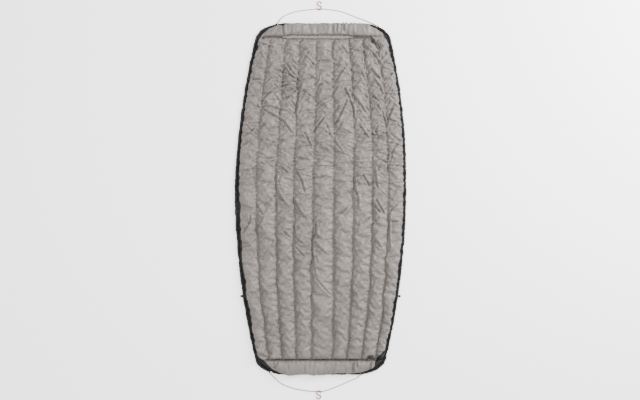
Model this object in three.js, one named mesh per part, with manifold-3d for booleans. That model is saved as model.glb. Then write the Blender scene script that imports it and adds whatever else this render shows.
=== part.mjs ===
// Hammock underquilt, lying flat with its lining up. Millimetres.
// +Y points to the head end, +X to the right-hand side, +Z up; the floor is z = 0.
import * as THREE from 'three';
import { mergeVertices } from 'three/addons/utils/BufferGeometryUtils.js';
import Module from 'manifold-3d';

const wasm = await Module();
wasm.setup();

// ---- driving dimensions ----

const LENGTH = 2000;
const HALF_LENGTH = LENGTH / 2;
const MID_HALF_WIDTH = 488;
const HEAD_HALF_WIDTH = 358;
const FOOT_HALF_WIDTH = 345;
const WIDEST_Y = 50;
const BARREL_POWER = 0.82;
const CORNER_WIDTH = 140;
const CORNER_LENGTH = 80;
const HEAD_LEAN = 14;        // the head end lies this far to the right
const LEAN_START = 80;

const GAP = 0.4;             // between touching pieces
const FABRIC = 0.8;
const SEAM_HEIGHT = 8;
const CROWN_HEIGHT = 38;
const EDGE_HEIGHT = 4;
const END_TAPER = 100;       // length over which a chamber fills out from its end seam
const PUFF_POWER = 0.75;
const HEAD_SEAM_Y = 920;     // seams between the lengthwise chambers and the end chambers
const FOOT_SEAM_Y = -914;
const END_PUFF_RUN = 0.3;    // share of the half-width over which an end chamber fills out

// Chamber seams, as shares of the half-width: at the head, in the middle, at the foot.
const SEAM_REACH = 860;
const SEAMS = [
  [-0.80, -0.77, -0.80],
  [-0.56, -0.53, -0.59],
  [-0.35, -0.32, -0.37],
  [-0.10, -0.09, -0.14],
  [0.14, 0.16, 0.19],
  [0.40, 0.40, 0.41],
  [0.60, 0.63, 0.64],
  [0.81, 0.81, 0.86],
];
const EDGE = 1;
const CHAMBER_STEPS = 3;
const CHAMBER_COUNT = SEAMS.length + 1;

const CHANNEL_WIDTH = 12;
const CHANNEL_HEIGHT = 8;
const CHANNEL_WALL = 1.6;
const CHANNEL_INSET = CHANNEL_WIDTH / 2;
const CHANNEL_Z = CHANNEL_HEIGHT / 2 + 0.2;
const PANEL_INSET = CHANNEL_WIDTH + 1.5;

const CORD_DIAMETER = 3;
const CORD_Z = CORD_DIAMETER / 2 + 0.1;
const CORD_SIDES = 8;

// The y of each corner where a suspension cord leaves its side channel.
const EXIT_Y = { headLeft: 987, headRight: 970, footLeft: -976, footRight: -990 };
const SLEEVE_START = 3;      // from the channel's mouth
const SLEEVE_LENGTH = 14;
const SLEEVE_RADIUS = 3.9;
const SLEEVE_BORE = 2.1;

const DRAW_CHANNEL_WIDTH = 8;
const DRAW_CHANNEL_HEIGHT = 6;
const DRAW_CHANNEL_WALL = 1.1;
const DRAW_CHANNEL_Z = 15.5;

const HOOK_RADIUS = 11.5;    // centreline of each loop of the S
const HOOK_WIRE = 1.5;       // radius of the S bar
// The S's left shoulder, where its upper loop turns into the slanting middle stroke.
const HOOK_SHOULDER = [[-10.9, 8.7], [-8.6, 6.6]];
const HOOK_TILT = 0.18;      // the hook leans on the cord that runs under one side of it
const HOOK_Z = 4.1;
const HOOK_CENTRES = { head: [-7, 1099.6, HOOK_Z], foot: [-11, -1114.6, HOOK_Z] };
const GATE_WIRE = 0.7;
const GATE_PIVOT = [10.4, -3.9];
const GATE_TIP = [11.3, 10.1];

const LOCK_LENGTH = 24;
const LOCK_WIDTH = 18;
const LOCK_BOTTOM = 14.2;
const LOCK_TOP = 29.8;
const LOCK_FLOOR = 1.2;
const LOCK_BORE = 5.8;
const LOCK_CORD_Z = 25;
const STRAND_OFFSET = 1.8;
const PLUNGER_RADIUS = 5.5;
const PLUNGER_TOP = 33.1;
const PLUNGER_TRAVEL = 3;
const SPRING_RADIUS = 3.6;
const SPRING_WIRE = 0.45;
const SPRING_TURNS = 3;

const TAB_Y = -553;
const TAB_REACH = 13;
const TAB_WIDTH = 12;
const TAB_HEIGHT = 8;
const TAB_WALL = 1.1;
const TAB_CLEARANCE = 1.4;   // from the side channel
const TAB_BOTTOM = 0.2;

// ---- materials ----

function material(color, roughness, metalness) {
  return new THREE.MeshStandardMaterial({ color, roughness, metalness });
}

const liningCloth = () => material(0x9b9794, 0.55, 0);
const shellCloth = () => material(0x1d1b1d, 0.6, 0);
const netting = () => material(0x54524f, 0.9, 0);
const insulation = () => material(0xd9d6cf, 1, 0);
const webbing = () => material(0x161516, 0.8, 0);
const greyCord = () => material(0x4e4e4c, 0.8, 0);
const blackCord = () => material(0x1a191a, 0.8, 0);
const plastic = () => material(0x141414, 0.45, 0);
const redMetal = () => material(0x9c3a36, 0.4, 0.5);
const springSteel = () => material(0xb4b4b6, 0.3, 1);

// ---- building helpers ----

const quilt = new THREE.Group();

function add(name, geometry, look, parent = quilt) {
  const piece = new THREE.Mesh(geometry, look);
  piece.name = name;
  parent.add(piece);
  return piece;
}

function solid(geometry) {
  const bare = geometry.clone();
  bare.deleteAttribute('normal');
  bare.deleteAttribute('uv');
  const merged = mergeVertices(bare, 1e-4);
  return new wasm.Manifold(new wasm.Mesh({
    numProp: 3,
    vertProperties: new Float32Array(merged.attributes.position.array),
    triVerts: new Uint32Array(merged.index.array),
  }));
}

function geometryOf(manifold) {
  const result = manifold.getMesh();
  const geometry = new THREE.BufferGeometry();
  geometry.setAttribute('position', new THREE.BufferAttribute(result.vertProperties, 3));
  geometry.setIndex(new THREE.BufferAttribute(result.triVerts, 1));
  return geometry;
}

const BOX_TOP_GROUP = 4;

// A box whose grid is bent by place(i, j, top), i and j being its station numbers.
// The top's quads are split along the other diagonal, so that it nests under another bent box.
function bentBox(across, along, place) {
  const geometry = new THREE.BoxGeometry(1, 1, 1, across, along, 1);
  const { start, count } = geometry.groups[BOX_TOP_GROUP];
  const index = geometry.index;
  for (let n = start; n < start + count; n += 6) {
    const [a, b, d, c] = [0, 1, 2, 4].map((step) => index.getX(n + step));
    [a, b, c, a, c, d].forEach((corner, step) => index.setX(n + step, corner));
  }
  const position = geometry.attributes.position;
  for (let n = 0; n < position.count; n += 1) {
    const i = Math.round((position.getX(n) + 0.5) * across);
    const j = Math.round((position.getY(n) + 0.5) * along);
    const point = place(i, j, position.getZ(n) > 0);
    position.setXYZ(n, point[0], point[1], point[2]);
  }
  return geometry;
}

function polygon(points) {
  return new THREE.Shape(points.map(([x, y]) => new THREE.Vector2(x, y)));
}

function roundSection(radius, sides) {
  const points = [];
  for (let n = 0; n < sides; n += 1) {
    const angle = (n + 0.5) * 2 * Math.PI / sides;
    points.push([radius * Math.cos(angle), radius * Math.sin(angle)]);
  }
  return points;
}

// A flat casing's section: first coordinate up, second sideways.
function casingSection(height, width) {
  const up = height / 2;
  const side = width / 2;
  return [[0, side], [up, side * 0.6], [up, -side * 0.6], [0, -side], [-up, -side * 0.6], [-up, side * 0.6]];
}

function holeSection(height, width) {
  const up = height / 2;
  const side = width / 2;
  return [[up, side], [-up, side], [-up, -side], [up, -side]];
}

// A smooth route whose sections stand at its own points, so that they are closer where it bends.
class Route extends THREE.CatmullRomCurve3 {
  constructor(points) {
    super(points.map((point) => new THREE.Vector3(...point)), false, 'centripetal');
  }

  getPointAt(share, target) {
    return this.getPoint(share, target);
  }

  getTangentAt(share, target) {
    return this.getTangent(share, target);
  }
}

function sweep(section, points, stepsPerSpan, hole = null) {
  const shape = polygon(section);
  if (hole) {
    shape.holes.push(polygon(hole));
  }
  const steps = stepsPerSpan * (points.length - 1);
  return new THREE.ExtrudeGeometry(shape, { steps, extrudePath: new Route(points) });
}

function cordTube(points, stepsPerSpan) {
  return sweep(roundSection(CORD_DIAMETER / 2, CORD_SIDES), points, stepsPerSpan);
}

// ---- the quilt's plan ----

function lean(y) {
  const share = Math.max(0, y - LEAN_START) / (HALF_LENGTH - LEAN_START);
  return HEAD_LEAN * Math.sin(Math.PI / 2 * share);
}

function halfWidth(y, inset) {
  const toHead = y > WIDEST_Y;
  const end = toHead ? HEAD_HALF_WIDTH : FOOT_HALF_WIDTH;
  const reach = toHead ? HALF_LENGTH - WIDEST_Y : HALF_LENGTH + WIDEST_Y;
  const share = Math.min(1, Math.abs(y - WIDEST_Y) / reach);
  const barrel = end + (MID_HALF_WIDTH - end) * Math.cos(Math.PI / 2 * share) ** BARREL_POWER;
  const intoCorner = (Math.abs(y) - (HALF_LENGTH - inset - CORNER_LENGTH)) / CORNER_LENGTH;
  const turn = Math.min(1, Math.max(0, intoCorner));
  return barrel - inset - CORNER_WIDTH * (1 - Math.sqrt(1 - turn * turn));
}

function edgePoint(side, y, inset) {
  return lean(y) + side * halfWidth(y, inset);
}

// Stations of y from a to b, packed closer towards b as the corner turns.
function cornerStations(a, b, inset, count) {
  const start = HALF_LENGTH - inset - CORNER_LENGTH;
  const from = Math.asin(Math.min(1, Math.max(0, (a - start) / CORNER_LENGTH)));
  const to = Math.asin(Math.min(1, Math.max(0, (b - start) / CORNER_LENGTH)));
  const stations = [];
  for (let n = 1; n <= count; n += 1) {
    stations.push(start + CORNER_LENGTH * Math.sin(from + (to - from) * n / count));
  }
  return stations;
}

// Where seam k is at y, as a share of the half-width; the outer edges are k = 0 and 9.
function seamShare(k, y) {
  if (k === 0 || k === CHAMBER_COUNT) {
    return k === 0 ? -EDGE : EDGE;
  }
  const [head, middle, foot] = SEAMS[k - 1];
  const t = Math.max(-1, Math.min(1, y / SEAM_REACH));
  return middle + t * (head - foot) / 2 + t * t * ((head + foot) / 2 - middle);
}

// ---- heights of the lining's underside ----

function smooth(share) {
  const t = Math.min(1, Math.max(0, share));
  return t * t * (3 - 2 * t);
}

function arch(s) {
  return Math.max(0, 1 - (2 * s - 1) ** 2) ** PUFF_POWER;
}

function baseHeight(k) {
  return k === 0 || k === CHAMBER_COUNT ? EDGE_HEIGHT : SEAM_HEIGHT;
}

const PUFF = CROWN_HEIGHT - SEAM_HEIGHT;

function chamberHeight(k, s, y) {
  const base = baseHeight(k) * (1 - s) + baseHeight(k + 1) * s;
  const fromEnd = Math.min(HEAD_SEAM_Y - y, y - FOOT_SEAM_Y);
  return base + PUFF * arch(s) * smooth(fromEnd / END_TAPER);
}

function endHeight(share, s) {
  const fromCorner = Math.min(1, (1 - Math.abs(share)) / END_PUFF_RUN);
  const low = SEAM_HEIGHT * (1 - s) + EDGE_HEIGHT * s;
  return low * fromCorner + EDGE_HEIGHT * (1 - fromCorner) + PUFF * arch(s) * Math.sqrt(fromCorner);
}

const CHAMBER_STATIONS = [
  FOOT_SEAM_Y, -888, -860, -815, -600, -300, 0, 300, 600, 820, 866, 894, HEAD_SEAM_Y,
];
const END_SHARES = [0, 0.25, 0.6, 1];
const PANEL_END = HALF_LENGTH - PANEL_INSET;

function endStation(seamY, share) {
  return seamY + (Math.sign(seamY) * PANEL_END - seamY) * share;
}

const LINING_STATIONS = [
  ...END_SHARES.slice(1).reverse().map((share) => ({ y: endStation(FOOT_SEAM_Y, share), end: share })),
  ...CHAMBER_STATIONS.map((y) => ({ y, end: null })),
  ...END_SHARES.slice(1).map((share) => ({ y: endStation(HEAD_SEAM_Y, share), end: share })),
];

// A point of the lining's underside over chamber k, at s across it.
function liningPoint(k, s, station) {
  const share = seamShare(k, station.y) * (1 - s) + seamShare(k + 1, station.y) * s;
  const x = edgePoint(share, station.y, PANEL_INSET);
  const chamber = station.end === null;
  const atSeam = station.y === HEAD_SEAM_Y || station.y === FOOT_SEAM_Y;
  let z = chamber ? chamberHeight(k, s, station.y) : endHeight(share, station.end);
  if (atSeam) {
    z = endHeight(share, 0);
  }
  return [x, station.y, z];
}

function liningPanel() {
  const across = CHAMBER_COUNT * CHAMBER_STEPS;
  return bentBox(across, LINING_STATIONS.length - 1, (i, j, top) => {
    const k = Math.min(CHAMBER_COUNT - 1, Math.floor(i / CHAMBER_STEPS));
    const s = (i - k * CHAMBER_STEPS) / CHAMBER_STEPS;
    const [x, y, z] = liningPoint(k, s, LINING_STATIONS[j]);
    return [x, y, z + (top ? FABRIC : 0)];
  });
}

function shellPanel() {
  const outline = [];
  const corner = cornerStations(0, PANEL_END, PANEL_INSET, 4);
  const sideStations = [-600, -300, 0, 300, 600];
  const cornerStart = HALF_LENGTH - PANEL_INSET - CORNER_LENGTH;
  const right = [
    ...corner.map((y) => -y).reverse(), -cornerStart, ...sideStations, cornerStart, ...corner,
  ];
  for (const y of right) {
    outline.push([edgePoint(1, y, PANEL_INSET), y]);
  }
  for (const y of [...right].reverse()) {
    outline.push([edgePoint(-1, y, PANEL_INSET), y]);
  }
  return new THREE.ExtrudeGeometry(polygon(outline), { depth: FABRIC, steps: 1, bevelEnabled: false });
}

const FILL_BOTTOM = FABRIC + GAP;
const WALL_HALF = 0.2;
const WALL_ROOM = WALL_HALF + GAP;
const END_ROOM = 0.8;

function chamberFill(k) {
  const last = CHAMBER_STATIONS.length - 1;
  return bentBox(CHAMBER_STEPS, last, (i, j, top) => {
    const s = i / CHAMBER_STEPS;
    let y = CHAMBER_STATIONS[j];
    const [x, , z] = liningPoint(k, s, { y, end: null });
    if (j === 0) {
      y += END_ROOM;
    }
    if (j === last) {
      y -= END_ROOM;
    }
    const inward = s === 0 ? WALL_ROOM : s === 1 ? -WALL_ROOM : 0;
    return [x + inward, y, top ? z - GAP : FILL_BOTTOM];
  });
}

// Stations [k, s] across an end: every seam, and the steps of the two outer chambers each side.
function endStationsAcross() {
  const stations = [];
  for (let k = 0; k < CHAMBER_COUNT; k += 1) {
    const outer = k <= 1 || k >= CHAMBER_COUNT - 2;
    for (let n = 0; n < CHAMBER_STEPS; n += 1) {
      if (outer || n === 0) {
        stations.push([k, n / CHAMBER_STEPS]);
      }
    }
  }
  return [...stations, [CHAMBER_COUNT - 1, 1]];
}

const ACROSS = endStationsAcross();

function endFill(seamY) {
  const along = END_SHARES.length - 1;
  const away = Math.sign(seamY);
  return bentBox(ACROSS.length - 1, along, (i, j, top) => {
    const [k, s] = ACROSS[i];
    const step = away > 0 ? j : along - j;
    const station = { y: endStation(seamY, END_SHARES[step]), end: END_SHARES[step] };
    const [x, y, z] = liningPoint(k, s, station);
    const back = step === 0 ? away * END_ROOM : 0;
    return [x, y + back, top ? z - GAP : FILL_BOTTOM];
  });
}

function baffleWall(k) {
  const last = CHAMBER_STATIONS.length - 1;
  return bentBox(1, last, (i, j, top) => {
    let y = CHAMBER_STATIONS[j];
    const [x, , z] = liningPoint(k, 0, { y, end: null });
    if (j === 0) {
      y += END_ROOM;
    }
    if (j === last) {
      y -= END_ROOM;
    }
    return [x + (i === 0 ? -WALL_HALF : WALL_HALF), y, top ? z - GAP : FILL_BOTTOM];
  });
}

function endWall(seamY) {
  return bentBox(ACROSS.length - 1, 1, (i, j, top) => {
    const [k, s] = ACROSS[i];
    const [x, y, z] = liningPoint(k, s, { y: seamY, end: null });
    return [x, y + (j === 0 ? -WALL_HALF : WALL_HALF), top ? z - GAP : FILL_BOTTOM];
  });
}

// ---- the edges ----

function sideRoute(side, headExit, footExit) {
  const cornerStart = HALF_LENGTH - CHANNEL_INSET - CORNER_LENGTH;
  const stations = [
    ...cornerStations(0, -footExit, CHANNEL_INSET, 4).map((y) => -y).reverse(),
    -cornerStart, -740, -500, -250, 0, 250, 500, 740, cornerStart,
    ...cornerStations(0, headExit, CHANNEL_INSET, 4),
  ];
  return stations.map((y) => [edgePoint(side, y, CHANNEL_INSET), y, CHANNEL_Z]);
}

const ROUTES = {
  left: sideRoute(-1, EXIT_Y.headLeft, EXIT_Y.footLeft),
  right: sideRoute(1, EXIT_Y.headRight, EXIT_Y.footRight),
};
const SIDE_STEPS = 2;

function sideChannel(route) {
  const section = casingSection(CHANNEL_HEIGHT, CHANNEL_WIDTH);
  const hole = holeSection(CHANNEL_HEIGHT - 2 * CHANNEL_WALL, CHANNEL_WIDTH * 0.6 - CHANNEL_WALL);
  return sweep(section, route, SIDE_STEPS, hole);
}

// The binding along an end starts this far past the place where the cords leave.
const BINDING_START = 26;

function endBinding(end) {
  const flat = end * (HALF_LENGTH - CHANNEL_INSET);
  const exits = end > 0 ? [EXIT_Y.headLeft, EXIT_Y.headRight] : [-EXIT_Y.footLeft, -EXIT_Y.footRight];
  const points = [];
  for (const side of [-1, 1]) {
    const exitY = exits[side > 0 ? 1 : 0];
    const exitX = Math.abs(edgePoint(side, end * exitY, CHANNEL_INSET));
    const half = [];
    for (const y of cornerStations(0, HALF_LENGTH - CHANNEL_INSET, CHANNEL_INSET, 12)) {
      const x = edgePoint(side, end * y, CHANNEL_INSET);
      if (Math.abs(x) < exitX - BINDING_START) {
        half.push([x, end * y, CHANNEL_Z]);
      }
    }
    if (side < 0) {
      points.push(...half);
      points.push([lean(flat), flat, CHANNEL_Z]);
    } else {
      points.push(...half.reverse());
    }
  }
  return sweep(casingSection(CHANNEL_HEIGHT, CHANNEL_WIDTH), points, 1);
}

// The four places where a suspension cord leaves, with the direction it leaves in.
function exitAt(side, y, direction) {
  const length = Math.hypot(...direction);
  const unit = direction.map((c) => c / length);
  return { point: [edgePoint(side, y, CHANNEL_INSET), y, CHANNEL_Z], unit };
}

const EXITS = {
  head_left: exitAt(-1, EXIT_Y.headLeft, [0.8, 0.6, 0]),
  head_right: exitAt(1, EXIT_Y.headRight, [-0.72, 0.69, 0]),
  foot_left: exitAt(-1, EXIT_Y.footLeft, [0.55, -0.83, 0]),
  foot_right: exitAt(1, EXIT_Y.footRight, [-0.9, -0.43, 0]),
};

function along(exit, distance) {
  return exit.point.map((c, n) => c + exit.unit[n] * distance);
}

function cornerSleeve(exit) {
  const points = [0, 1].map((share) => along(exit, SLEEVE_START + share * SLEEVE_LENGTH));
  return sweep(roundSection(SLEEVE_RADIUS, 8), points, 1, roundSection(SLEEVE_BORE, 8).reverse());
}

// ---- cords ----

const HEAD_CORD = [
  [-224, 1029, 2.2], [-190, 1049, CORD_Z], [-150, 1064, CORD_Z], [-99, 1073, CORD_Z],
  [-52, 1078, CORD_Z], [-30, 1080, CORD_Z], [-15, 1080.8, CORD_Z], [-8, 1080.8, 3], [-3, 1080.8, 4.8],
  [1, 1080.8, 6.3], [7, 1080.6, 6.3], [14, 1080.2, 4.2], [26, 1079.4, 1.9], [45, 1077.5, CORD_Z],
  [82, 1073, CORD_Z], [128, 1063, CORD_Z], [180, 1043, CORD_Z], [230, 1024, CORD_Z], [275, 1007, 2],
];
const FOOT_CORD = [
  [-258, -1022, 2.2], [-229, -1047, CORD_Z], [-190, -1066, CORD_Z], [-150, -1079, CORD_Z],
  [-100, -1089, CORD_Z], [-56, -1094.4, CORD_Z], [-34, -1095.6, CORD_Z], [-19, -1095.8, CORD_Z],
  [-12, -1095.8, 3], [-7, -1095.8, 4.8], [-3, -1095.8, 6.3], [3, -1095.6, 6.3], [10, -1094.8, 4.2],
  [22, -1092.5, 1.9], [48, -1085, CORD_Z], [90, -1069, CORD_Z], [135, -1050, CORD_Z],
  [180, -1030, CORD_Z], [205, -1019, 2.4],
];

const CORD_START = 1;        // from the channel's mouth
const CORD_STRAIGHT = 2;     // straight run out of the sleeve

function suspensionCord(from, middle, to) {
  const clear = SLEEVE_START + SLEEVE_LENGTH + CORD_STRAIGHT;
  const begin = [along(from, CORD_START), along(from, clear)];
  const finish = [along(to, clear), along(to, CORD_START)];
  return cordTube([...begin, ...middle, ...finish], 2);
}

// ---- draw cords and their locks ----

const DRAW = {
  head: {
    y: HEAD_SEAM_Y,
    from: -318,
    to: 284,
    lock: [301, 899],
    heading: [0.6, -0.8],
    loopLength: 53,
    loopDrop: 5,
  },
  foot: {
    y: FOOT_SEAM_Y,
    from: -300,
    to: 262,
    lock: [287, -904],
    heading: [0.95, -0.3122],
    loopLength: 44,
    loopDrop: 9,
  },
};
const LOOP_HALF_WIDTH = 6;

function drawRoute(draw, inset) {
  const points = [];
  for (let n = 0; n <= 4; n += 1) {
    const x = draw.from + inset + (draw.to - draw.from - 2 * inset) * n / 4;
    points.push([x, draw.y, DRAW_CHANNEL_Z]);
  }
  return points;
}

function drawChannel(draw) {
  const section = casingSection(DRAW_CHANNEL_HEIGHT, DRAW_CHANNEL_WIDTH);
  const hole = holeSection(DRAW_CHANNEL_HEIGHT - 2 * DRAW_CHANNEL_WALL, DRAW_CHANNEL_WIDTH * 0.6 - 1);
  return sweep(section, drawRoute(draw, 0), 1, hole);
}

// Places on the lock's own axes: forward along the cord, sideways, up.
function lockPoint(draw, forward, sideways, z) {
  const [dx, dy] = draw.heading;
  return [
    draw.lock[0] + dx * forward - dy * sideways,
    draw.lock[1] + dy * forward + dx * sideways,
    z,
  ];
}

const MOUTH_CLEARANCE = 2.2;
const MOUTH_HALF_GAP = 1.7;
const MOUTH_RISE = 1;

// Each place is its distance along the lock's axis, sideways, and its share of the drop.
function drawLoop(draw) {
  const reach = draw.loopLength;
  const out = [
    [-LOCK_LENGTH / 2 - 1.5, STRAND_OFFSET, 0.06], [-8, STRAND_OFFSET, 0], [8, STRAND_OFFSET, 0],
    [LOCK_LENGTH / 2 + 1, STRAND_OFFSET + 0.1, 0.02],
    [reach * 0.42, 3.4, 0.4], [reach - 16, 5.4, 0.8], [reach - LOOP_HALF_WIDTH, LOOP_HALF_WIDTH, 1],
    [reach - 1.8, 4.2, 1],
  ];
  const tip = [[reach, 0, 1]];
  const back = [...out].reverse().map(([f, s, d]) => [f, -s, d]);
  const route = [...out, ...tip, ...back];
  const points = route.map(([f, s, d]) => lockPoint(draw, f, s, LOCK_CORD_Z - d * draw.loopDrop));
  const mouth = [draw.to + MOUTH_CLEARANCE, draw.y + MOUTH_HALF_GAP, DRAW_CHANNEL_Z + MOUTH_RISE];
  const stitched = [draw.to + MOUTH_CLEARANCE, draw.y - MOUTH_HALF_GAP, DRAW_CHANNEL_Z + MOUTH_RISE];
  const ends = draw.y > 0 ? [mouth, stitched] : [stitched, mouth];
  return cordTube([ends[0], ...points, ends[1]], 2);
}

function ellipse(length, width, sides) {
  const points = [];
  for (let n = 0; n < sides; n += 1) {
    const angle = n * 2 * Math.PI / sides;
    points.push([length / 2 * Math.cos(angle), width / 2 * Math.sin(angle)]);
  }
  return polygon(points);
}

function upright(radius, bottom, top, sides = 16) {
  const cylinder = new THREE.CylinderGeometry(radius, radius, top - bottom, sides);
  cylinder.rotateX(Math.PI / 2);
  cylinder.translate(0, 0, (top + bottom) / 2);
  return cylinder;
}

function slot(length, width, bottom, top) {
  const box = new THREE.BoxGeometry(length, width, top - bottom);
  box.translate(0, 0, (top + bottom) / 2);
  return box;
}

const SLOT_HALF_WIDTH = 3.7;
const CORD_BORE_HALF = 1.9;
const CUT_EXCESS = 1;        // how far a cutting shape reaches past what it cuts

function lockBody() {
  const outside = new THREE.ExtrudeGeometry(ellipse(LOCK_LENGTH, LOCK_WIDTH, 24), {
    depth: LOCK_TOP - LOCK_BOTTOM,
    steps: 1,
    bevelEnabled: false,
  });
  outside.translate(0, 0, LOCK_BOTTOM);
  const bore = upright(LOCK_BORE, LOCK_BOTTOM + LOCK_FLOOR, LOCK_TOP + CUT_EXCESS);
  const way = slot(LOCK_LENGTH + 2 * CUT_EXCESS, 2 * SLOT_HALF_WIDTH, LOCK_CORD_Z - CORD_BORE_HALF,
    LOCK_CORD_Z + CORD_BORE_HALF);
  return geometryOf(solid(outside).subtract(solid(bore)).subtract(solid(way)));
}

const PLUNGER_FOOT = 1.5;    // under the cord's way through the plunger
const PLUNGER_SLOT_BOTTOM = LOCK_CORD_Z - CORD_BORE_HALF + 0.1;
const PLUNGER_SLOT_TOP = LOCK_CORD_Z + CORD_BORE_HALF + PLUNGER_TRAVEL;
const PLUNGER_BOTTOM = PLUNGER_SLOT_BOTTOM - PLUNGER_FOOT;

function lockPlunger() {
  const barrel = upright(PLUNGER_RADIUS, PLUNGER_BOTTOM, PLUNGER_TOP);
  const wayLength = 2 * (PLUNGER_RADIUS + CUT_EXCESS);
  const way = slot(wayLength, 2 * SLOT_HALF_WIDTH, PLUNGER_SLOT_BOTTOM, PLUNGER_SLOT_TOP);
  return geometryOf(solid(barrel).subtract(solid(way)));
}

function lockSpring() {
  const bottom = LOCK_BOTTOM + LOCK_FLOOR + GAP + SPRING_WIRE;
  const top = PLUNGER_BOTTOM - GAP - SPRING_WIRE;
  const points = [];
  for (let n = 0; n <= SPRING_TURNS * 8; n += 1) {
    const angle = n * Math.PI / 4;
    const z = bottom + (top - bottom) * n / (SPRING_TURNS * 8);
    points.push([SPRING_RADIUS * Math.cos(angle), SPRING_RADIUS * Math.sin(angle), z]);
  }
  return sweep(roundSection(SPRING_WIRE, 6), points, 1);
}

const ANCHOR_RADIUS = 5.5;
const ANCHOR_HOLE = 2.4;
const ANCHOR_THICKNESS = 1.6;
const ANCHOR_BACK = 9;       // from the casing's closed end
const ANCHOR_IN = 4;
const ANCHOR_DROP = 2;

function ringGeometry(outer, inner, thickness) {
  const half = thickness / 2;
  const profile = [[inner, -half], [outer, -half], [outer, half], [inner, half], [inner, -half]];
  const ring = new THREE.LatheGeometry(profile.map(([r, h]) => new THREE.Vector2(r, h)), 12);
  ring.rotateX(Math.PI / 2);
  return ring;
}

function addDrawCord(end) {
  const draw = DRAW[end];
  add(`draw_channel_${end}`, drawChannel(draw), liningCloth());
  add(`draw_cord_${end}`, cordTube(drawRoute(draw, 2), 1), blackCord());
  add(`draw_loop_${end}`, drawLoop(draw), blackCord());
  const anchor = ringGeometry(ANCHOR_RADIUS, ANCHOR_HOLE, ANCHOR_THICKNESS);
  const anchorY = draw.y - Math.sign(draw.y) * ANCHOR_IN;
  anchor.translate(draw.from - ANCHOR_BACK, anchorY, DRAW_CHANNEL_Z - ANCHOR_DROP);
  add(`draw_cord_anchor_${end}`, anchor, webbing());
  const lock = new THREE.Group();
  lock.position.set(draw.lock[0], draw.lock[1], 0);
  lock.rotation.z = Math.atan2(draw.heading[1], draw.heading[0]);
  add(`cord_lock_body_${end}`, lockBody(), plastic(), lock);
  add(`cord_lock_plunger_${end}`, lockPlunger(), plastic(), lock);
  add(`cord_lock_spring_${end}`, lockSpring(), springSteel(), lock);
  quilt.add(lock);
}

// ---- hooks ----

// The S in its own plane, from the upper right nose to the lower left one.
function hookRoute() {
  const arc = [];
  for (let n = 0; n <= 8; n += 1) {
    const angle = n * Math.PI / 8;
    arc.push([HOOK_RADIUS * Math.cos(angle), HOOK_RADIUS * (1 + Math.sin(angle))]);
  }
  const upper = [...arc, ...HOOK_SHOULDER];
  const lower = [...upper].reverse().map(([x, y]) => [-x, -y]);
  return [...upper, [0, 0], ...lower].map(([x, y]) => [x, y, 0]);
}

const CHEEK_INNER = 0.95;
const CHEEK_OUTER = 1.75;
const CHEEK_RADIUS = 2.4;
const PIN_RADIUS = 0.6;
const PIN_REACH = CHEEK_OUTER - 0.2;
const EYE_RADIUS = 1.5;
const EYE_BORE = 0.85;
const EYE_BITE = 0.3;        // how deep the gate's bar reaches into its eye

function hookBody() {
  let body = solid(sweep(roundSection(HOOK_WIRE, 8), hookRoute(), 1));
  for (const side of [1, -1]) {
    const [x, y] = GATE_PIVOT.map((c) => c * side);
    const pieces = [
      upright(CHEEK_RADIUS, CHEEK_INNER, CHEEK_OUTER, 12),
      upright(CHEEK_RADIUS, -CHEEK_OUTER, -CHEEK_INNER, 12),
      upright(PIN_RADIUS, -PIN_REACH, PIN_REACH, 8),
    ];
    for (const piece of pieces) {
      piece.translate(x, y, 0);
      body = body.add(solid(piece));
    }
  }
  return geometryOf(body);
}

function hookGate() {
  const [px, py] = GATE_PIVOT;
  const [tx, ty] = GATE_TIP;
  const length = Math.hypot(tx - px, ty - py);
  const unit = [(tx - px) / length, (ty - py) / length];
  const start = EYE_BORE + EYE_BITE;
  const points = [start, length].map((d) => [unit[0] * d, unit[1] * d, 0]);
  const bar = solid(sweep(roundSection(GATE_WIRE, 6), points, 1));
  const eye = solid(ringGeometry(EYE_RADIUS, EYE_BORE, 2 * GATE_WIRE));
  return geometryOf(bar.add(eye));
}

function addHook(end, centre) {
  const hook = new THREE.Group();
  hook.position.set(...centre);
  hook.rotation.y = HOOK_TILT;
  add(`hook_${end}`, hookBody(), redMetal(), hook);
  for (const [name, side] of [['upper', 1], ['lower', -1]]) {
    const gate = add(`hook_gate_${end}_${name}`, hookGate(), springSteel(), hook);
    gate.position.set(GATE_PIVOT[0] * side, GATE_PIVOT[1] * side, 0);
    gate.rotation.z = side > 0 ? 0 : Math.PI;
  }
  quilt.add(hook);
}

// ---- side tabs ----

function sideTab(side) {
  const outside = [];
  const inside = [];
  const round = TAB_HEIGHT / 2;
  for (let n = 0; n <= 6; n += 1) {
    const angle = -Math.PI / 2 + n * Math.PI / 6;
    const x = TAB_REACH - round + round * Math.cos(angle);
    outside.push([x, round + round * Math.sin(angle)]);
    const small = round - TAB_WALL;
    inside.push([TAB_REACH - round + small * Math.cos(angle), round + small * Math.sin(angle)]);
  }
  outside.push([0, TAB_HEIGHT], [0, 0]);
  inside.push([TAB_WALL, TAB_HEIGHT - TAB_WALL], [TAB_WALL, TAB_WALL]);
  const shape = polygon(outside);
  shape.holes.push(polygon(inside));
  const tab = new THREE.ExtrudeGeometry(shape, { depth: TAB_WIDTH, steps: 1, bevelEnabled: false });
  tab.rotateX(Math.PI / 2);
  tab.translate(0, TAB_WIDTH / 2, TAB_BOTTOM);
  if (side < 0) {
    tab.rotateZ(Math.PI);
  }
  tab.translate(edgePoint(side, TAB_Y, 0) + side * TAB_CLEARANCE, TAB_Y, 0);
  return tab;
}

// ---- assembly ----

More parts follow.
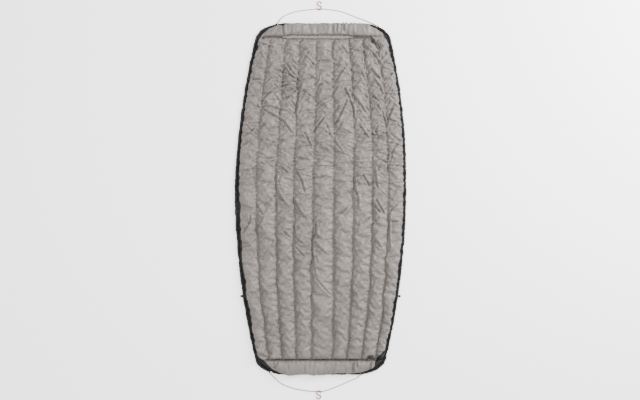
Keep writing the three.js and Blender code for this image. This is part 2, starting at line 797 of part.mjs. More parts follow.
add('lining_panel', liningPanel(), liningCloth());
add('shell_panel', shellPanel(), shellCloth());
for (let k = 0; k < CHAMBER_COUNT; k += 1) {
  add(`chamber_fill_${k + 1}`, chamberFill(k), insulation());
}
for (let k = 1; k < CHAMBER_COUNT; k += 1) {
  add(`baffle_wall_${k}`, baffleWall(k), netting());
}
for (const [end, seamY] of [['head', HEAD_SEAM_Y], ['foot', FOOT_SEAM_Y]]) {
  add(`end_fill_${end}`, endFill(seamY), insulation());
  add(`end_wall_${end}`, endWall(seamY), netting());
  add(`end_binding_${end}`, endBinding(Math.sign(seamY)), shellCloth());
  addDrawCord(end);
}
for (const [name, side] of [['left', -1], ['right', 1]]) {
  add(`side_channel_${name}`, sideChannel(ROUTES[name]), shellCloth());
  add(`side_cord_${name}`, cordTube(ROUTES[name], SIDE_STEPS), greyCord());
  add(`side_tab_${name}`, sideTab(side), webbing());
}
for (const [name, exit] of Object.entries(EXITS)) {
  add(`corner_sleeve_${name}`, cornerSleeve(exit), webbing());
}
add('suspension_cord_head', suspensionCord(EXITS.head_left, HEAD_CORD, EXITS.head_right), greyCord());
add('suspension_cord_foot', suspensionCord(EXITS.foot_left, FOOT_CORD, EXITS.foot_right), greyCord());
addHook('head', HOOK_CENTRES.head);
addHook('foot', HOOK_CENTRES.foot);

export default quilt;
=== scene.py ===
"""A hammock underquilt lying flat with its lining up, seen from straight above.

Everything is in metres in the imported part's frame: +Y to the head end, +X to the right, +Z up.
"""

import math

import bpy
import numpy as np
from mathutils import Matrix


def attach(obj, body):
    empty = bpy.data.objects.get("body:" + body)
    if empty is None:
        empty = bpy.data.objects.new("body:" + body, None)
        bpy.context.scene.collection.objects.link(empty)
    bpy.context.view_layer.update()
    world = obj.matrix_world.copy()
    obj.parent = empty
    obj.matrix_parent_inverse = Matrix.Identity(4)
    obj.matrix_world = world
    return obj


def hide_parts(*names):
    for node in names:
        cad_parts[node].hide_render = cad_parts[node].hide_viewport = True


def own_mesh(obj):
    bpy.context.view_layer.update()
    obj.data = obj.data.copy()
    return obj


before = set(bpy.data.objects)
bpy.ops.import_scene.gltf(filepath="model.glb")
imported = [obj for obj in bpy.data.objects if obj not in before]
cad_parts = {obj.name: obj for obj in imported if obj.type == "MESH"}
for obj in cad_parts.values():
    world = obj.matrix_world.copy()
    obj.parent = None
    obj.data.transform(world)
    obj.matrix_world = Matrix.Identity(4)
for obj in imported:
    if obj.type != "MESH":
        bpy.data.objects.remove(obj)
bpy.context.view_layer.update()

ROOT = "quilt"
ENDS = ("head", "foot")
SIDES = (("left", -1), ("right", 1))

# ---- the quilt's plan, as the CAD part has it ----

HALF_LENGTH = 1.0
MID_HALF_WIDTH = 0.488
HEAD_HALF_WIDTH = 0.358
FOOT_HALF_WIDTH = 0.345
WIDEST_Y = 0.05
BARREL_POWER = 0.82
CORNER_WIDTH = 0.14
CORNER_LENGTH = 0.08
HEAD_LEAN = 0.014
LEAN_START = 0.08
PANEL_INSET = 0.0135
CHANNEL_INSET = 0.006
HEAD_SEAM_Y = 0.92
FOOT_SEAM_Y = -0.914
PANEL_END = HALF_LENGTH - PANEL_INSET
SEAM_REACH = 0.86
# Each seam between chambers: its share of the half width at the head, the middle and the foot.
SEAMS = [
    (-0.80, -0.77, -0.80),
    (-0.56, -0.53, -0.59),
    (-0.35, -0.32, -0.37),
    (-0.10, -0.09, -0.14),
    (0.14, 0.16, 0.19),
    (0.40, 0.40, 0.41),
    (0.60, 0.63, 0.64),
    (0.81, 0.81, 0.86),
]
CHAMBERS = len(SEAMS) + 1


def lean(y):
    """How far the head half's middle stands to the right."""
    share = np.maximum(0, y - LEAN_START) / (HALF_LENGTH - LEAN_START)
    return HEAD_LEAN * np.sin(np.pi / 2 * share)


def half_width(y, inset):
    """Half the quilt's width at y, inside its outline by the inset."""
    y = np.asarray(y, float)
    end = np.where(y > WIDEST_Y, HEAD_HALF_WIDTH, FOOT_HALF_WIDTH)
    reach = np.where(y > WIDEST_Y, HALF_LENGTH - WIDEST_Y, HALF_LENGTH + WIDEST_Y)
    share = np.minimum(1, np.abs(y - WIDEST_Y) / reach)
    barrel = end + (MID_HALF_WIDTH - end) * np.cos(np.pi / 2 * share).clip(0) ** BARREL_POWER
    turn = ((np.abs(y) - (HALF_LENGTH - inset - CORNER_LENGTH)) / CORNER_LENGTH).clip(0, 1)
    return barrel - inset - CORNER_WIDTH * (1 - np.sqrt(1 - turn * turn))


def edge_x(side, y, inset):
    return lean(y) + side * half_width(y, inset)


def seam_share(k, y):
    """Where seam k runs at y, from -1 at the left edge to 1 at the right one."""
    y = np.asarray(y, float)
    if k == 0 or k == CHAMBERS:
        return np.full_like(y, -1.0 if k == 0 else 1.0)
    head, middle, foot = SEAMS[k - 1]
    t = np.clip(y / SEAM_REACH, -1, 1)
    return middle + t * (head - foot) / 2 + t * t * ((head + foot) / 2 - middle)


# ---- small tools ----


def smooth(share):
    t = np.clip(share, 0, 1)
    return t * t * (3 - 2 * t)


def waves(x, y, wavelength, seed, count=20):
    """Smooth random relief of about unit size, the same every time for one seed."""
    rng = np.random.default_rng(seed)
    total = np.zeros(np.broadcast(x, y).shape)
    for _ in range(count):
        angle = rng.uniform(0, 2 * np.pi)
        length = wavelength * rng.uniform(0.7, 1.5)
        phase = rng.uniform(0, 2 * np.pi)
        total += np.cos(2 * np.pi * (x * np.cos(angle) + y * np.sin(angle)) / length + phase)
    return total / math.sqrt(count / 2)


def make(name, vertices, faces, material, rounded=True):
    mesh = bpy.data.meshes.new(name)
    mesh.from_pydata([tuple(map(float, v)) for v in vertices], [], [tuple(map(int, f)) for f in faces])
    mesh.validate()
    mesh.materials.append(material)
    if rounded:
        mesh.shade_smooth()
    piece = bpy.data.objects.new(name, mesh)
    bpy.context.scene.collection.objects.link(piece)
    return piece


def place(piece, body, slot, *stands_for):
    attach(piece, body)
    if stands_for:
        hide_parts(*stands_for)
    return piece


def add(name, solid, material, slot, *stands_for, body=ROOT, rounded=True):
    """A new piece from a solid's vertices and faces, with its body and the CAD nodes it replaces; the slot is
    not used.
    """
    return place(make(name, *solid, material, rounded), body, slot, *stands_for)


def grid_faces(rows, columns, start=0):
    r, c = np.meshgrid(np.arange(rows - 1), np.arange(columns - 1), indexing="ij")
    a = (start + r * columns + c).ravel()
    return np.stack([a, a + 1, a + columns + 1, a + columns], axis=1)


def between(a, b, at_a, at_b, t):
    return (at_b - t) / (at_b - at_a) * a + (t - at_a) / (at_b - at_a) * b


def catmull(points, per_span):
    """A smooth line through the points."""
    p = np.asarray(points, float)
    p = np.vstack([2 * p[0] - p[1], p, 2 * p[-1] - p[-2]])
    out = []
    for n in range(1, len(p) - 2):
        p0, p1, p2, p3 = p[n - 1:n + 3]
        knots = [0.0]
        for a, b in ((p0, p1), (p1, p2), (p2, p3)):
            knots.append(knots[-1] + math.sqrt(max(1e-9, np.linalg.norm(b - a))))
        t0, t1, t2, t3 = knots
        for t in np.linspace(t1, t2, per_span, endpoint=False):
            a1, a2, a3 = between(p0, p1, t0, t1, t), between(p1, p2, t1, t2, t), between(p2, p3, t2, t3, t)
            b1, b2 = between(a1, a2, t0, t2, t), between(a2, a3, t1, t3, t)
            out.append(between(b1, b2, t1, t2, t))
    out.append(p[-2])
    return np.array(out)


def evenly(points, spacing):
    """The line through the points, at even steps."""
    p = np.asarray(points, float)
    at = np.concatenate([[0], np.cumsum(np.linalg.norm(np.diff(p, axis=0), axis=1))])
    want = np.linspace(0, at[-1], max(2, int(round(at[-1] / spacing)) + 1))
    return np.stack([np.interp(want, at, p[:, n]) for n in range(3)], axis=1)


def frames_along(p):
    """Directions forward, sideways (level) and up at each point of a line."""
    forward = np.gradient(p, axis=0)
    forward /= np.linalg.norm(forward, axis=1)[:, None]
    sideways = np.cross([0.0, 0.0, 1.0], forward)
    sideways /= np.linalg.norm(sideways, axis=1)[:, None]
    return forward, sideways, np.cross(forward, sideways)


def stack(rings, joined=False):
    """A closed solid from rings of equal length, with a face on each end or the last joined to the first."""
    points = np.concatenate(rings)
    sides = len(rings[0])
    faces = []
    for start in range(0, len(points) if joined else len(points) - sides, sides):
        for s in range(sides):
            a, b = start + s, start + (s + 1) % sides
            faces.append((a, b, (b + sides) % len(points), (a + sides) % len(points)))
    if not joined:
        faces.append(tuple(range(sides - 1, -1, -1)))
        faces.append(tuple(range(len(points) - sides, len(points))))
    return points, faces


def around(sides):
    return np.arange(sides) * 2 * np.pi / sides


def points_at(x, y, z):
    """Points from their x and y, all at height z."""
    return np.stack(np.broadcast_arrays(x, y, float(z)), axis=-1)


def circle(cx, cy, radius, z, sides):
    angle = around(sides)
    return points_at(cx + radius * np.cos(angle), cy + radius * np.sin(angle), z)


ROUND_END = [(-0.8, 0.6), (-0.5, 0.86)]      # shift and size of the rings that round a tube's ends


def tube(p, wide, high, sides=12):
    """A closed tube along p; wide and high are half sizes, one, one per point, or one per vertex."""
    p = np.asarray(p, float)
    forward, sideways, up = frames_along(p)
    wide, high = (np.broadcast_to(v, len(p)) if np.ndim(v) < 2 else v for v in (wide, high))
    angle = around(sides)

    def ring(n, shift, size):
        centre = p[n] + forward[n] * shift * np.mean(high[n])
        return centre + np.cos(angle)[:, None] * sideways[n] * np.reshape(wide[n] * size, (-1, 1)) \
            + np.sin(angle)[:, None] * up[n] * np.reshape(high[n] * size, (-1, 1))

    start = [ring(0, shift, size) for shift, size in ROUND_END]
    middle = [ring(n, 0, 1) for n in range(len(p))]
    stop = [ring(len(p) - 1, -shift, size) for shift, size in reversed(ROUND_END)]
    return stack([*start, *middle, *stop])


def merge(parts):
    """Several solids as one."""
    vertices = []
    faces = []
    count = 0
    for v, f in parts:
        vertices.extend(list(v))
        faces.extend([tuple(i + count for i in face) for face in f])
        count += len(v)
    return vertices, faces


# ---- materials ----


def new_material(name):
    material = bpy.data.materials.new(name)
    material.use_nodes = True
    tree = material.node_tree
    shader = tree.nodes["Principled BSDF"]
    return material, tree, shader


def set_inputs(node, **values):
    """Sets inputs, named with _ for a space."""
    for key, value in values.items():
        node.inputs[key.replace("_", " ")].default_value = value


def add_node(tree, kind, inputs, **attributes):
    """A new shader node with its inputs and attributes set."""
    node = tree.nodes.new(f"ShaderNode{kind}")
    for key, value in attributes.items():
        setattr(node, key, value)
    set_inputs(node, **inputs)
    return node


def linear(r, g, b):
    """A colour seen as r, g, b of 255, as Blender's shaders take it."""
    def one(c):
        c /= 255
        return c / 12.92 if c <= 0.04045 else ((c + 0.055) / 1.055) ** 2.4
    return (one(r), one(g), one(b), 1.0)


def pattern(tree, kind, inputs, **attributes):
    """A pattern that lies still on the piece."""
    node = add_node(tree, f"Tex{kind}", inputs, **attributes)
    place_out = tree.nodes.new("ShaderNodeTexCoord").outputs["Object"]
    tree.links.new(place_out, node.inputs["Vector"])
    return node.outputs["Fac"]


def colour_patches(tree, shader, dark, light, scale, detail=6.0):
    """Patches from dark to light; gives the pattern and the colour."""
    noise = pattern(tree, "Noise", dict(Scale=scale, Detail=detail))
    ramp = tree.nodes.new("ShaderNodeValToRGB")
    for element, position, colour in zip(ramp.color_ramp.elements, (0.35, 0.65), (dark, light)):
        element.position = position
        element.color = colour
    tree.links.new(noise, ramp.inputs["Fac"])
    tree.links.new(ramp.outputs["Color"], shader.inputs["Base Color"])
    return noise, ramp.outputs["Color"]


def raise_surface(tree, shader, height, strength, distance):
    """A bump by the given pattern, on top of those that the shader has."""
    bump = add_node(tree, "Bump", dict(Strength=strength, Distance=distance))
    tree.links.new(height, bump.inputs["Height"])
    for link in shader.inputs["Normal"].links:
        tree.links.new(link.from_socket, bump.inputs["Normal"])
    tree.links.new(bump.outputs["Normal"], shader.inputs["Normal"])


WAVE_SCALE = 0.31416         # a wave texture's scale for bands a metre apart


def woven(name, dark, light, patch_scale, thread, rough, sheen, depth, fine_depth=0.0, fine_scale=90.0,
          gloss=0.3):
    """Woven cloth: threads both ways at the given spacing, patches of colour, fine creases and sheen."""
    material, tree, shader = new_material(name)
    _, colour = colour_patches(tree, shader, dark, light, patch_scale)
    weave = add_node(tree, "Math", {}, operation="MULTIPLY")
    for n, axis in enumerate("XY"):
        wave = pattern(tree, "Wave", dict(Scale=WAVE_SCALE / thread, Distortion=0.4), bands_direction=axis)
        tree.links.new(wave, weave.inputs[n])
    raise_surface(tree, shader, weave.outputs[0], 0.35, depth)
    if fine_depth:
        creases = pattern(tree, "Noise", dict(Scale=fine_scale, Detail=3.0), noise_type="RIDGED_MULTIFRACTAL")
        raise_surface(tree, shader, creases, 0.5, fine_depth)
    # Painted shade: the cloth's colour is darkened where the weave dips between the threads.
    shade = add_node(tree, "Mix", dict(Factor=0.25), data_type="RGBA", blend_type="MULTIPLY")
    tree.links.new(colour, shade.inputs[6])
    tree.links.new(weave.outputs[0], shade.inputs[7])
    tree.links.new(shade.outputs[2], shader.inputs["Base Color"])
    set_inputs(shader, Roughness=rough, Specular_IOR_Level=gloss, Sheen_Weight=sheen, Sheen_Roughness=0.4)
    return material


def braid(name, dark, light, rough):
    """Braided cord: crossing strands a millimetre apart."""
    material, tree, shader = new_material(name)
    colour_patches(tree, shader, dark, light, 900.0, detail=2.0)
    wave = pattern(tree, "Wave", dict(Scale=260.0, Distortion=3.0), bands_direction="DIAGONAL")
    raise_surface(tree, shader, wave, 0.6, 0.0004)
    set_inputs(shader, Roughness=rough, Specular_IOR_Level=0.2)
    return material


def hard(name, dark, light, scale, rough_low, rough_high, metallic, bump_depth, gloss=0.5):
    """Moulded or anodised surface with faint mottling, scuffs and a fine texture."""
    material, tree, shader = new_material(name)
    noise, _ = colour_patches(tree, shader, dark, light, scale)
    spread = add_node(tree, "MapRange", dict(To_Min=rough_low, To_Max=rough_high))
    tree.links.new(noise, spread.inputs["Value"])
    raise_surface(tree, shader, noise, 0.3, bump_depth)
    tree.links.new(spread.outputs["Result"], shader.inputs["Roughness"])
    set_inputs(shader, Metallic=metallic, Specular_IOR_Level=gloss)
    return material


LINING_CLOTH = woven("lining nylon", linear(77, 72, 68), linear(89, 83, 79), 7.0, 0.0016,
                     0.5, 0.25, 0.0003, fine_depth=0.0016, fine_scale=60.0)
SHELL_CLOTH = woven("shell nylon", linear(13, 12, 13), linear(22, 21, 23), 12.0, 0.0016,
                    0.6, 0.02, 0.0003, fine_depth=0.002, fine_scale=70.0, gloss=0.12)
CASING_CLOTH = woven("casing nylon", linear(86, 83, 79), linear(97, 93, 89), 30.0, 0.0016,
                     0.5, 0.25, 0.0003, fine_depth=0.0015, fine_scale=120.0)
# Painted shade: a darker copy of the casing nylon, standing in for the shadow deep in the casing's groove.
CASING_PAINTED_SHADE = woven("casing nylon, painted groove shade", linear(34, 31, 30), linear(46, 43, 41), 30.0,
                      0.0016, 0.6, 0.05, 0.0004)
MESH_CLOTH = woven("baffle netting", linear(66, 64, 61), linear(84, 82, 78), 20.0, 0.002, 0.9, 0.0, 0.0006)
WADDING = woven("insulation", linear(205, 202, 195), linear(226, 223, 216), 25.0, 0.004,
                1.0, 0.4, 0.001, fine_depth=0.004, fine_scale=80.0)
WEBBING = woven("black webbing", linear(14, 13, 14), linear(27, 26, 27), 60.0, 0.0012, 0.8, 0.05, 0.0005,
                gloss=0.12)
THREAD_GREY = braid("grey thread", linear(70, 66, 63), linear(86, 82, 78), 0.6)
THREAD_BLACK = braid("black thread", linear(14, 14, 15), linear(30, 30, 31), 0.6)
CORD_GREY = braid("grey elastic cord", linear(12, 12, 12), linear(28, 28, 27), 0.9)
CORD_BLACK = braid("black elastic cord", linear(6, 6, 7), linear(18, 18, 19), 0.85)
LOCK_PLASTIC = hard("black plastic", linear(8, 8, 9), linear(15, 15, 16), 160.0, 0.38, 0.55, 0.0, 0.0002,
                    gloss=0.2)
RED_METAL = hard("red anodised wire", linear(98, 4, 6), linear(124, 8, 9), 240.0, 0.4, 0.55, 0.0, 0.0001,
                 gloss=0.25)
SPRING_WIRE = hard("spring wire", linear(170, 170, 172), linear(196, 196, 198), 300.0, 0.2, 0.35, 1.0,
                   0.00005)

# ---- floor, light and camera ----

CAMERA_HEIGHT = 10.12
CAMERA_AT = (-0.003, -0.006)


def area_light(name, at, target, size, power):
    light = bpy.data.lights.new(name, "AREA")
    light.shape = "DISK"
    light.size = size
    light.energy = power
    lamp = bpy.data.objects.new(name, light)
    lamp.location = at
    back = np.subtract(at, target).astype(float)
    back /= np.linalg.norm(back)
    tilt = math.acos(back[2])
    lamp.rotation_euler = (0, tilt, math.atan2(back[1], back[0]))
    bpy.context.scene.collection.objects.link(lamp)


floor_material, _, floor_shader = new_material("studio floor")
set_inputs(floor_shader, Base_Color=(0.72, 0.72, 0.72, 1), Roughness=1.0)      # pale, matt
FLOOR_HALF = 6.0
FLOOR_Z = -0.0002
floor_corners = [(x * FLOOR_HALF, y * FLOOR_HALF, FLOOR_Z) for x, y in ((-1, -1), (1, -1), (1, 1), (-1, 1))]
floor = make("floor", floor_corners, [(0, 1, 2, 3)], floor_material, rounded=False)

world = bpy.data.worlds.new("studio")
world.use_nodes = True
set_inputs(world.node_tree.nodes["Background"], Color=(1, 1, 1, 1), Strength=2.7)
bpy.context.scene.world = world
area_light("key from the right", (3.2, 1.7, 1.9), (0, 0, 0), 1.6, 520)
area_light("fill from above", (-1.0, 0.4, 5.0), (0, 0, 0), 3.5, 320)

camera_data = bpy.data.cameras.new("camera")
camera_data.lens = 100
camera_data.sensor_width = 36
camera_data.clip_end = 60
camera = bpy.data.objects.new("camera", camera_data)
camera.location = (*CAMERA_AT, CAMERA_HEIGHT)
bpy.context.scene.collection.objects.link(camera)
bpy.context.scene.camera = camera

# ---- suspension cords and draw loops ----

CORD_RADIUS = 0.0015
CORD_LOOKS = 0.0018           # the braid's fibres stand a little outside the cord
CORD_Z = 0.0016
CHANNEL_Z = 0.0042
SLEEVE_START = 0.003
SLEEVE_LENGTH = 0.014


def exit_at(side, y, direction):
    unit = np.array(direction, float) / np.linalg.norm(direction)
    return np.array([float(edge_x(side, y, CHANNEL_INSET)), y, CHANNEL_Z]), unit


EXITS = {
    "head_left": exit_at(-1, 0.987, (0.8, 0.6, 0)),
    "head_right": exit_at(1, 0.970, (-0.72, 0.69, 0)),
    "foot_left": exit_at(-1, -0.976, (0.55, -0.83, 0)),
    "foot_right": exit_at(1, -0.990, (-0.9, -0.43, 0)),
}
HEAD_CORD = [
    (-0.224, 1.029, 0.0022), (-0.190, 1.049, CORD_Z), (-0.150, 1.064, CORD_Z), (-0.099, 1.073, CORD_Z),
    (-0.052, 1.078, CORD_Z), (-0.030, 1.080, CORD_Z), (-0.015, 1.0808, CORD_Z), (-0.008, 1.0808, 0.003),
    (-0.003, 1.0808, 0.0048), (0.001, 1.0808, 0.0063), (0.007, 1.0806, 0.0063), (0.014, 1.0802, 0.0042),
    (0.026, 1.0794, 0.0019), (0.045, 1.0775, CORD_Z), (0.082, 1.073, CORD_Z), (0.128, 1.063, CORD_Z),
    (0.180, 1.043, CORD_Z), (0.230, 1.024, CORD_Z), (0.275, 1.007, 0.002),
]
FOOT_CORD = [
    (-0.258, -1.022, 0.0022), (-0.229, -1.047, CORD_Z), (-0.190, -1.066, CORD_Z), (-0.150, -1.079, CORD_Z),
    (-0.100, -1.089, CORD_Z), (-0.056, -1.0944, CORD_Z), (-0.034, -1.0956, CORD_Z), (-0.019, -1.0958, CORD_Z),
    (-0.012, -1.0958, 0.003), (-0.007, -1.0958, 0.0048), (-0.003, -1.0958, 0.0063), (0.003, -1.0956, 0.0063),
    (0.010, -1.0948, 0.0042), (0.022, -1.0925, 0.0019), (0.048, -1.085, CORD_Z), (0.090, -1.069, CORD_Z),
    (0.135, -1.050, CORD_Z), (0.180, -1.030, CORD_Z), (0.205, -1.019, 0.0024),
]
HOOK_PIECES = {end: [] for end in ENDS}


def cord_curve(name, route, material):
    data = bpy.data.curves.new(name, "CURVE")
    data.dimensions = "3D"
    data.bevel_depth = CORD_LOOKS
    data.bevel_resolution = 3
    data.use_fill_caps = True
    spline = data.splines.new("POLY")
    spline.points.add(len(route) - 1)
    for point, at in zip(spline.points, route):
        point.co = (*map(float, at), 1.0)
    spline.use_smooth = True
    data.materials.append(material)
    piece = bpy.data.objects.new(name, data)
    bpy.context.scene.collection.objects.link(piece)
    return piece


def suspension_route(start, middle, stop):
    """From the mouth of one corner sleeve to the other, through the points between."""
    clear = SLEEVE_START + SLEEVE_LENGTH + 0.002
    points = [start[0] + start[1] * 0.001, start[0] + start[1] * clear, *middle,
              stop[0] + stop[1] * clear, stop[0] + stop[1] * 0.001]
    return catmull(points, 8)


SUSPENSION = {end: suspension_route(EXITS[f"{end}_left"], middle, EXITS[f"{end}_right"])
              for end, middle in (("head", HEAD_CORD), ("foot", FOOT_CORD))}

LOCK_CORD_Z = 0.025
STRAND_OFFSET = 0.0018
DRAW_Z = 0.0155
LOCK_LENGTH = 0.024
LOCK_BOTTOM = 0.0142
DRAW = {
    "head": dict(y=HEAD_SEAM_Y, start=-0.318, stop=0.284, lock=(0.301, 0.899), heading=(0.6, -0.8),
                 reach=0.053, drop=0.005),
    "foot": dict(y=FOOT_SEAM_Y, start=-0.300, stop=0.262, lock=(0.287, -0.904), heading=(0.95, -0.3122),
                 reach=0.044, drop=0.009),
}


def lock_frame(draw, points):
    """Points given forward, sideways and up from the lock's middle, in the part's frame."""
    dx, dy = draw["heading"]
    v = np.asarray(points, float)
    return np.stack([draw["lock"][0] + dx * v[:, 0] - dy * v[:, 1],
                     draw["lock"][1] + dy * v[:, 0] + dx * v[:, 1], v[:, 2]], axis=1)


def draw_loop_route(draw):
    """Out of the casing, through the lock, round the loop and back, as (forward, sideways, drop) points."""
    reach = draw["reach"]
    half = 0.006
    out = [
        (-LOCK_LENGTH / 2 - 0.0015, STRAND_OFFSET, 0.06), (-0.008, STRAND_OFFSET, 0),
        (0.008, STRAND_OFFSET, 0), (LOCK_LENGTH / 2 + 0.001, STRAND_OFFSET + 0.0001, 0.02),
        (reach * 0.42, 0.0034, 0.4),
        (reach - 0.016, 0.0054, 0.8), (reach - half, half, 1), (reach - 0.0018, 0.0042, 1),
    ]
    back = [(f, -s, d) for f, s, d in reversed(out)]
    line = [*out, (reach, 0, 1), *back]
    points = lock_frame(draw, [(f, s, LOCK_CORD_Z - d * draw["drop"]) for f, s, d in line])
    first = 0.0017 if draw["y"] > 0 else -0.0017
    start, stop = ((draw["stop"] + 0.0022, draw["y"] + shift, DRAW_Z + 0.001) for shift in (first, -first))
    return catmull([start, *points, stop], 6)


# ---- the lining, as one inflated sheet with sewn seams ----

SEAM_HEIGHT = 0.008
SOFT_SEAM_RISE = 0.011       # the seams sink less deep towards the head
EDGE_HEIGHT = 0.004
PUFF = 0.025                 # before the simulation fills it out
END_TAPER = {"head": 0.045, "foot": 0.034}
PUFF_POWER = 0.55
SEAM_WANDER = 0.0016
END_PUFF = 0.029             # of the two end chambers
END_PUFF_RUN = 0.3
PER_CHAMBER = 12
STRIP = 2
COLUMNS = CHAMBERS * PER_CHAMBER + 1
ROW_STEP = 0.009
END_ROWS = 10
FINER = 3                    # the simulated grid is made this much finer afterwards

# Width of black shell that shows inside the binding, along each long edge.
SHELL_SHOWS = {
    -1: [(-0.985, 0.020), (-0.950, 0.036), (-0.925, 0.038), (-0.905, 0.020), (-0.882, 0.007), (-0.80, 0.009),
         (-0.60, 0.012), (-0.30, 0.013), (0.10, 0.012), (0.40, 0.007), (0.75, 0.005), (0.90, 0.012),
         (0.926, 0.013), (0.968, 0.003), (0.985, 0.001)],
    1: [(-0.985, 0.014), (-0.950, 0.018), (-0.920, 0.050), (-0.906, 0.058), (-0.897, 0.040), (-0.883, 0.026),
        (-0.858, 0.010), (-0.80, 0.006), (0.0, 0.004), (0.70, 0.004), (0.88, 0.007), (0.92, 0.018),
        (0.95, 0.009), (0.985, 0.002)],
}


def lining_rows():
    """The lining's rows along y: even between the end seams, closer together as the corners turn."""
    middle = np.linspace(FOOT_SEAM_Y, HEAD_SEAM_Y, int(round((HEAD_SEAM_Y - FOOT_SEAM_Y) / ROW_STEP)) + 1)
    corner = PANEL_END - CORNER_LENGTH
    ends = []
    for seam in (-FOOT_SEAM_Y, HEAD_SEAM_Y):
        start = math.asin(max(0, (seam - corner) / CORNER_LENGTH))
        turn = np.linspace(start, np.pi / 2 * 0.985, END_ROWS + 1)[1:]
        ends.append(corner + CORNER_LENGTH * np.sin(turn))
    return np.concatenate([-ends[0][::-1], middle, ends[1]])


def rounded_end(share):
    """Rises from 0 to 1 as a quarter circle does."""
    return np.sqrt(1 - (1 - np.clip(share, 0, 1)) ** 2)


def flat_lining():
    """The lining before it is puffed: where each vertex stands and how high."""
    y = lining_rows()
    rows = len(y)
    wide = half_width(y, PANEL_INSET)
    x = np.zeros((rows, COLUMNS))
    z = np.zeros((rows, COLUMNS))
    inside = np.minimum(HEAD_SEAM_Y - y, y - FOOT_SEAM_Y)
    puff = smooth((HEAD_SEAM_Y - y) / END_TAPER["head"]) * rounded_end((y - FOOT_SEAM_Y) / END_TAPER["foot"])
    for k in range(CHAMBERS):
        left = seam_share(k, y) * wide
        right = seam_share(k + 1, y) * wide
        if k > 0:
            left = left + SEAM_WANDER * waves(y * 0, y, 0.16, 40 + k) * smooth(inside / 0.05)
        if k < CHAMBERS - 1:
            right = right + SEAM_WANDER * waves(y * 0, y, 0.16, 41 + k) * smooth(inside / 0.05)
        soft = SOFT_SEAM_RISE * smooth((y + 0.40) / 0.75) * smooth((HEAD_SEAM_Y - y) / 0.06)
        seam_z = (SEAM_HEIGHT + soft)[:, None]
        low = EDGE_HEIGHT if k == 0 else seam_z
        high = EDGE_HEIGHT if k == CHAMBERS - 1 else seam_z
        shares = np.repeat(np.linspace(0, 1, PER_CHAMBER + 1)[None, :], rows, axis=0)
        if k == 0 or k == CHAMBERS - 1:
            table = np.array(SHELL_SHOWS[-1 if k == 0 else 1])
            strip = np.interp(y, table[:, 0], table[:, 1]) / (right - left)
            inner = np.linspace(0, 1, PER_CHAMBER - STRIP + 1)
            for r in range(rows):
                cut = min(0.8, strip[r])
                s = np.concatenate([np.linspace(0, cut, STRIP + 1)[:-1], cut + (1 - cut) * inner])
                shares[r] = s if k == 0 else 1 - s[::-1]
        arch = np.maximum(0, 1 - (2 * shares - 1) ** 2) ** PUFF_POWER
        at = slice(k * PER_CHAMBER, (k + 1) * PER_CHAMBER + 1)
        x[:, at] = left[:, None] * (1 - shares) + right[:, None] * shares
        z[:, at] = low * (1 - shares) + high * shares + (PUFF - soft)[:, None] * arch * puff[:, None]
    share = np.abs(x) / wide[:, None]
    from_corner = np.minimum(1, (1 - share).clip(0) / END_PUFF_RUN)
    for seam in (HEAD_SEAM_Y, FOOT_SEAM_Y):
        past = (y > seam) if seam > 0 else (y < seam)
        s = ((np.abs(y) - abs(seam)) / (PANEL_END - abs(seam))).clip(0, 1)[:, None]
        end_z = (SEAM_HEIGHT * (1 - s) + EDGE_HEIGHT * s) * from_corner + EDGE_HEIGHT * (1 - from_corner)
        end_z = end_z + END_PUFF * np.maximum(0, 1 - (2 * s - 1) ** 2) ** PUFF_POWER * np.sqrt(from_corner)
        z = np.where(past[:, None], end_z, z)
    x = x + lean(y)[:, None]
    return x, np.repeat(y[:, None], COLUMNS, axis=1), z


def sewn(rows_y):
    """True where the lining is held: along every seam and round its edge."""
    held = np.zeros((len(rows_y), COLUMNS), bool)
    held[:, 0] = held[:, -1] = True
    held[0, :] = held[-1, :] = True
    chamber = (rows_y >= FOOT_SEAM_Y - 1e-6) & (rows_y <= HEAD_SEAM_Y + 1e-6)
    for k in range(1, CHAMBERS):
        held[chamber, k * PER_CHAMBER] = True
    for seam in (FOOT_SEAM_Y, HEAD_SEAM_Y):
        held[np.argmin(np.abs(rows_y - seam)), :] = True
    return held


# ---- creases ----


def press_crease(z, x, y, path, depth, width, fade=0.2):
    """Presses a valley along the path into the heights z, with a ridge on its left and a lower one right."""
    p = np.asarray(path, float)
    spans = np.diff(p, axis=0)
    lengths = np.linalg.norm(spans, axis=1)
    reach = 4 * width
    r0, r1 = np.searchsorted(y[:, 0], [p[:, 1].min() - reach, p[:, 1].max() + reach])
    if r1 <= r0:
        return
    middle = x[(r0 + r1) // 2]
    c0, c1 = np.searchsorted(middle, [p[:, 0].min() - reach - 0.01, p[:, 0].max() + reach + 0.01])
    if c1 <= c0:
        return
    xs = x[r0:r1, c0:c1]
    ys = y[r0:r1, c0:c1]
    best = np.full(xs.shape, 1e9)
    side = np.zeros(xs.shape)
    along = np.zeros(xs.shape)
    done = 0.0
    for a, span, length in zip(p[:-1], spans, lengths):
        t = (((xs - a[0]) * span[0] + (ys - a[1]) * span[1]) / length ** 2).clip(0, 1)
        d = np.hypot(xs - a[0] - t * span[0], ys - a[1] - t * span[1])
        along = np.where(d < best, (done + t * length) / lengths.sum(), along)
        across = span[0] * (ys - a[1]) - span[1] * (xs - a[0])
        side = np.where(d < best, np.sign(across), side)
        best = np.minimum(best, d)
        done += length
    taper = smooth(along / 0.12 + 0.25) * smooth((1 - along) / fade)
    valley = -np.exp(-(best / width) ** 2)
    ridge = np.where(side > 0, 0.75, 0.3) * np.exp(-((best - 2.0 * width) / (1.1 * width)) ** 2)
    z[r0:r1, c0:c1] += depth * taper * (valley + ridge)


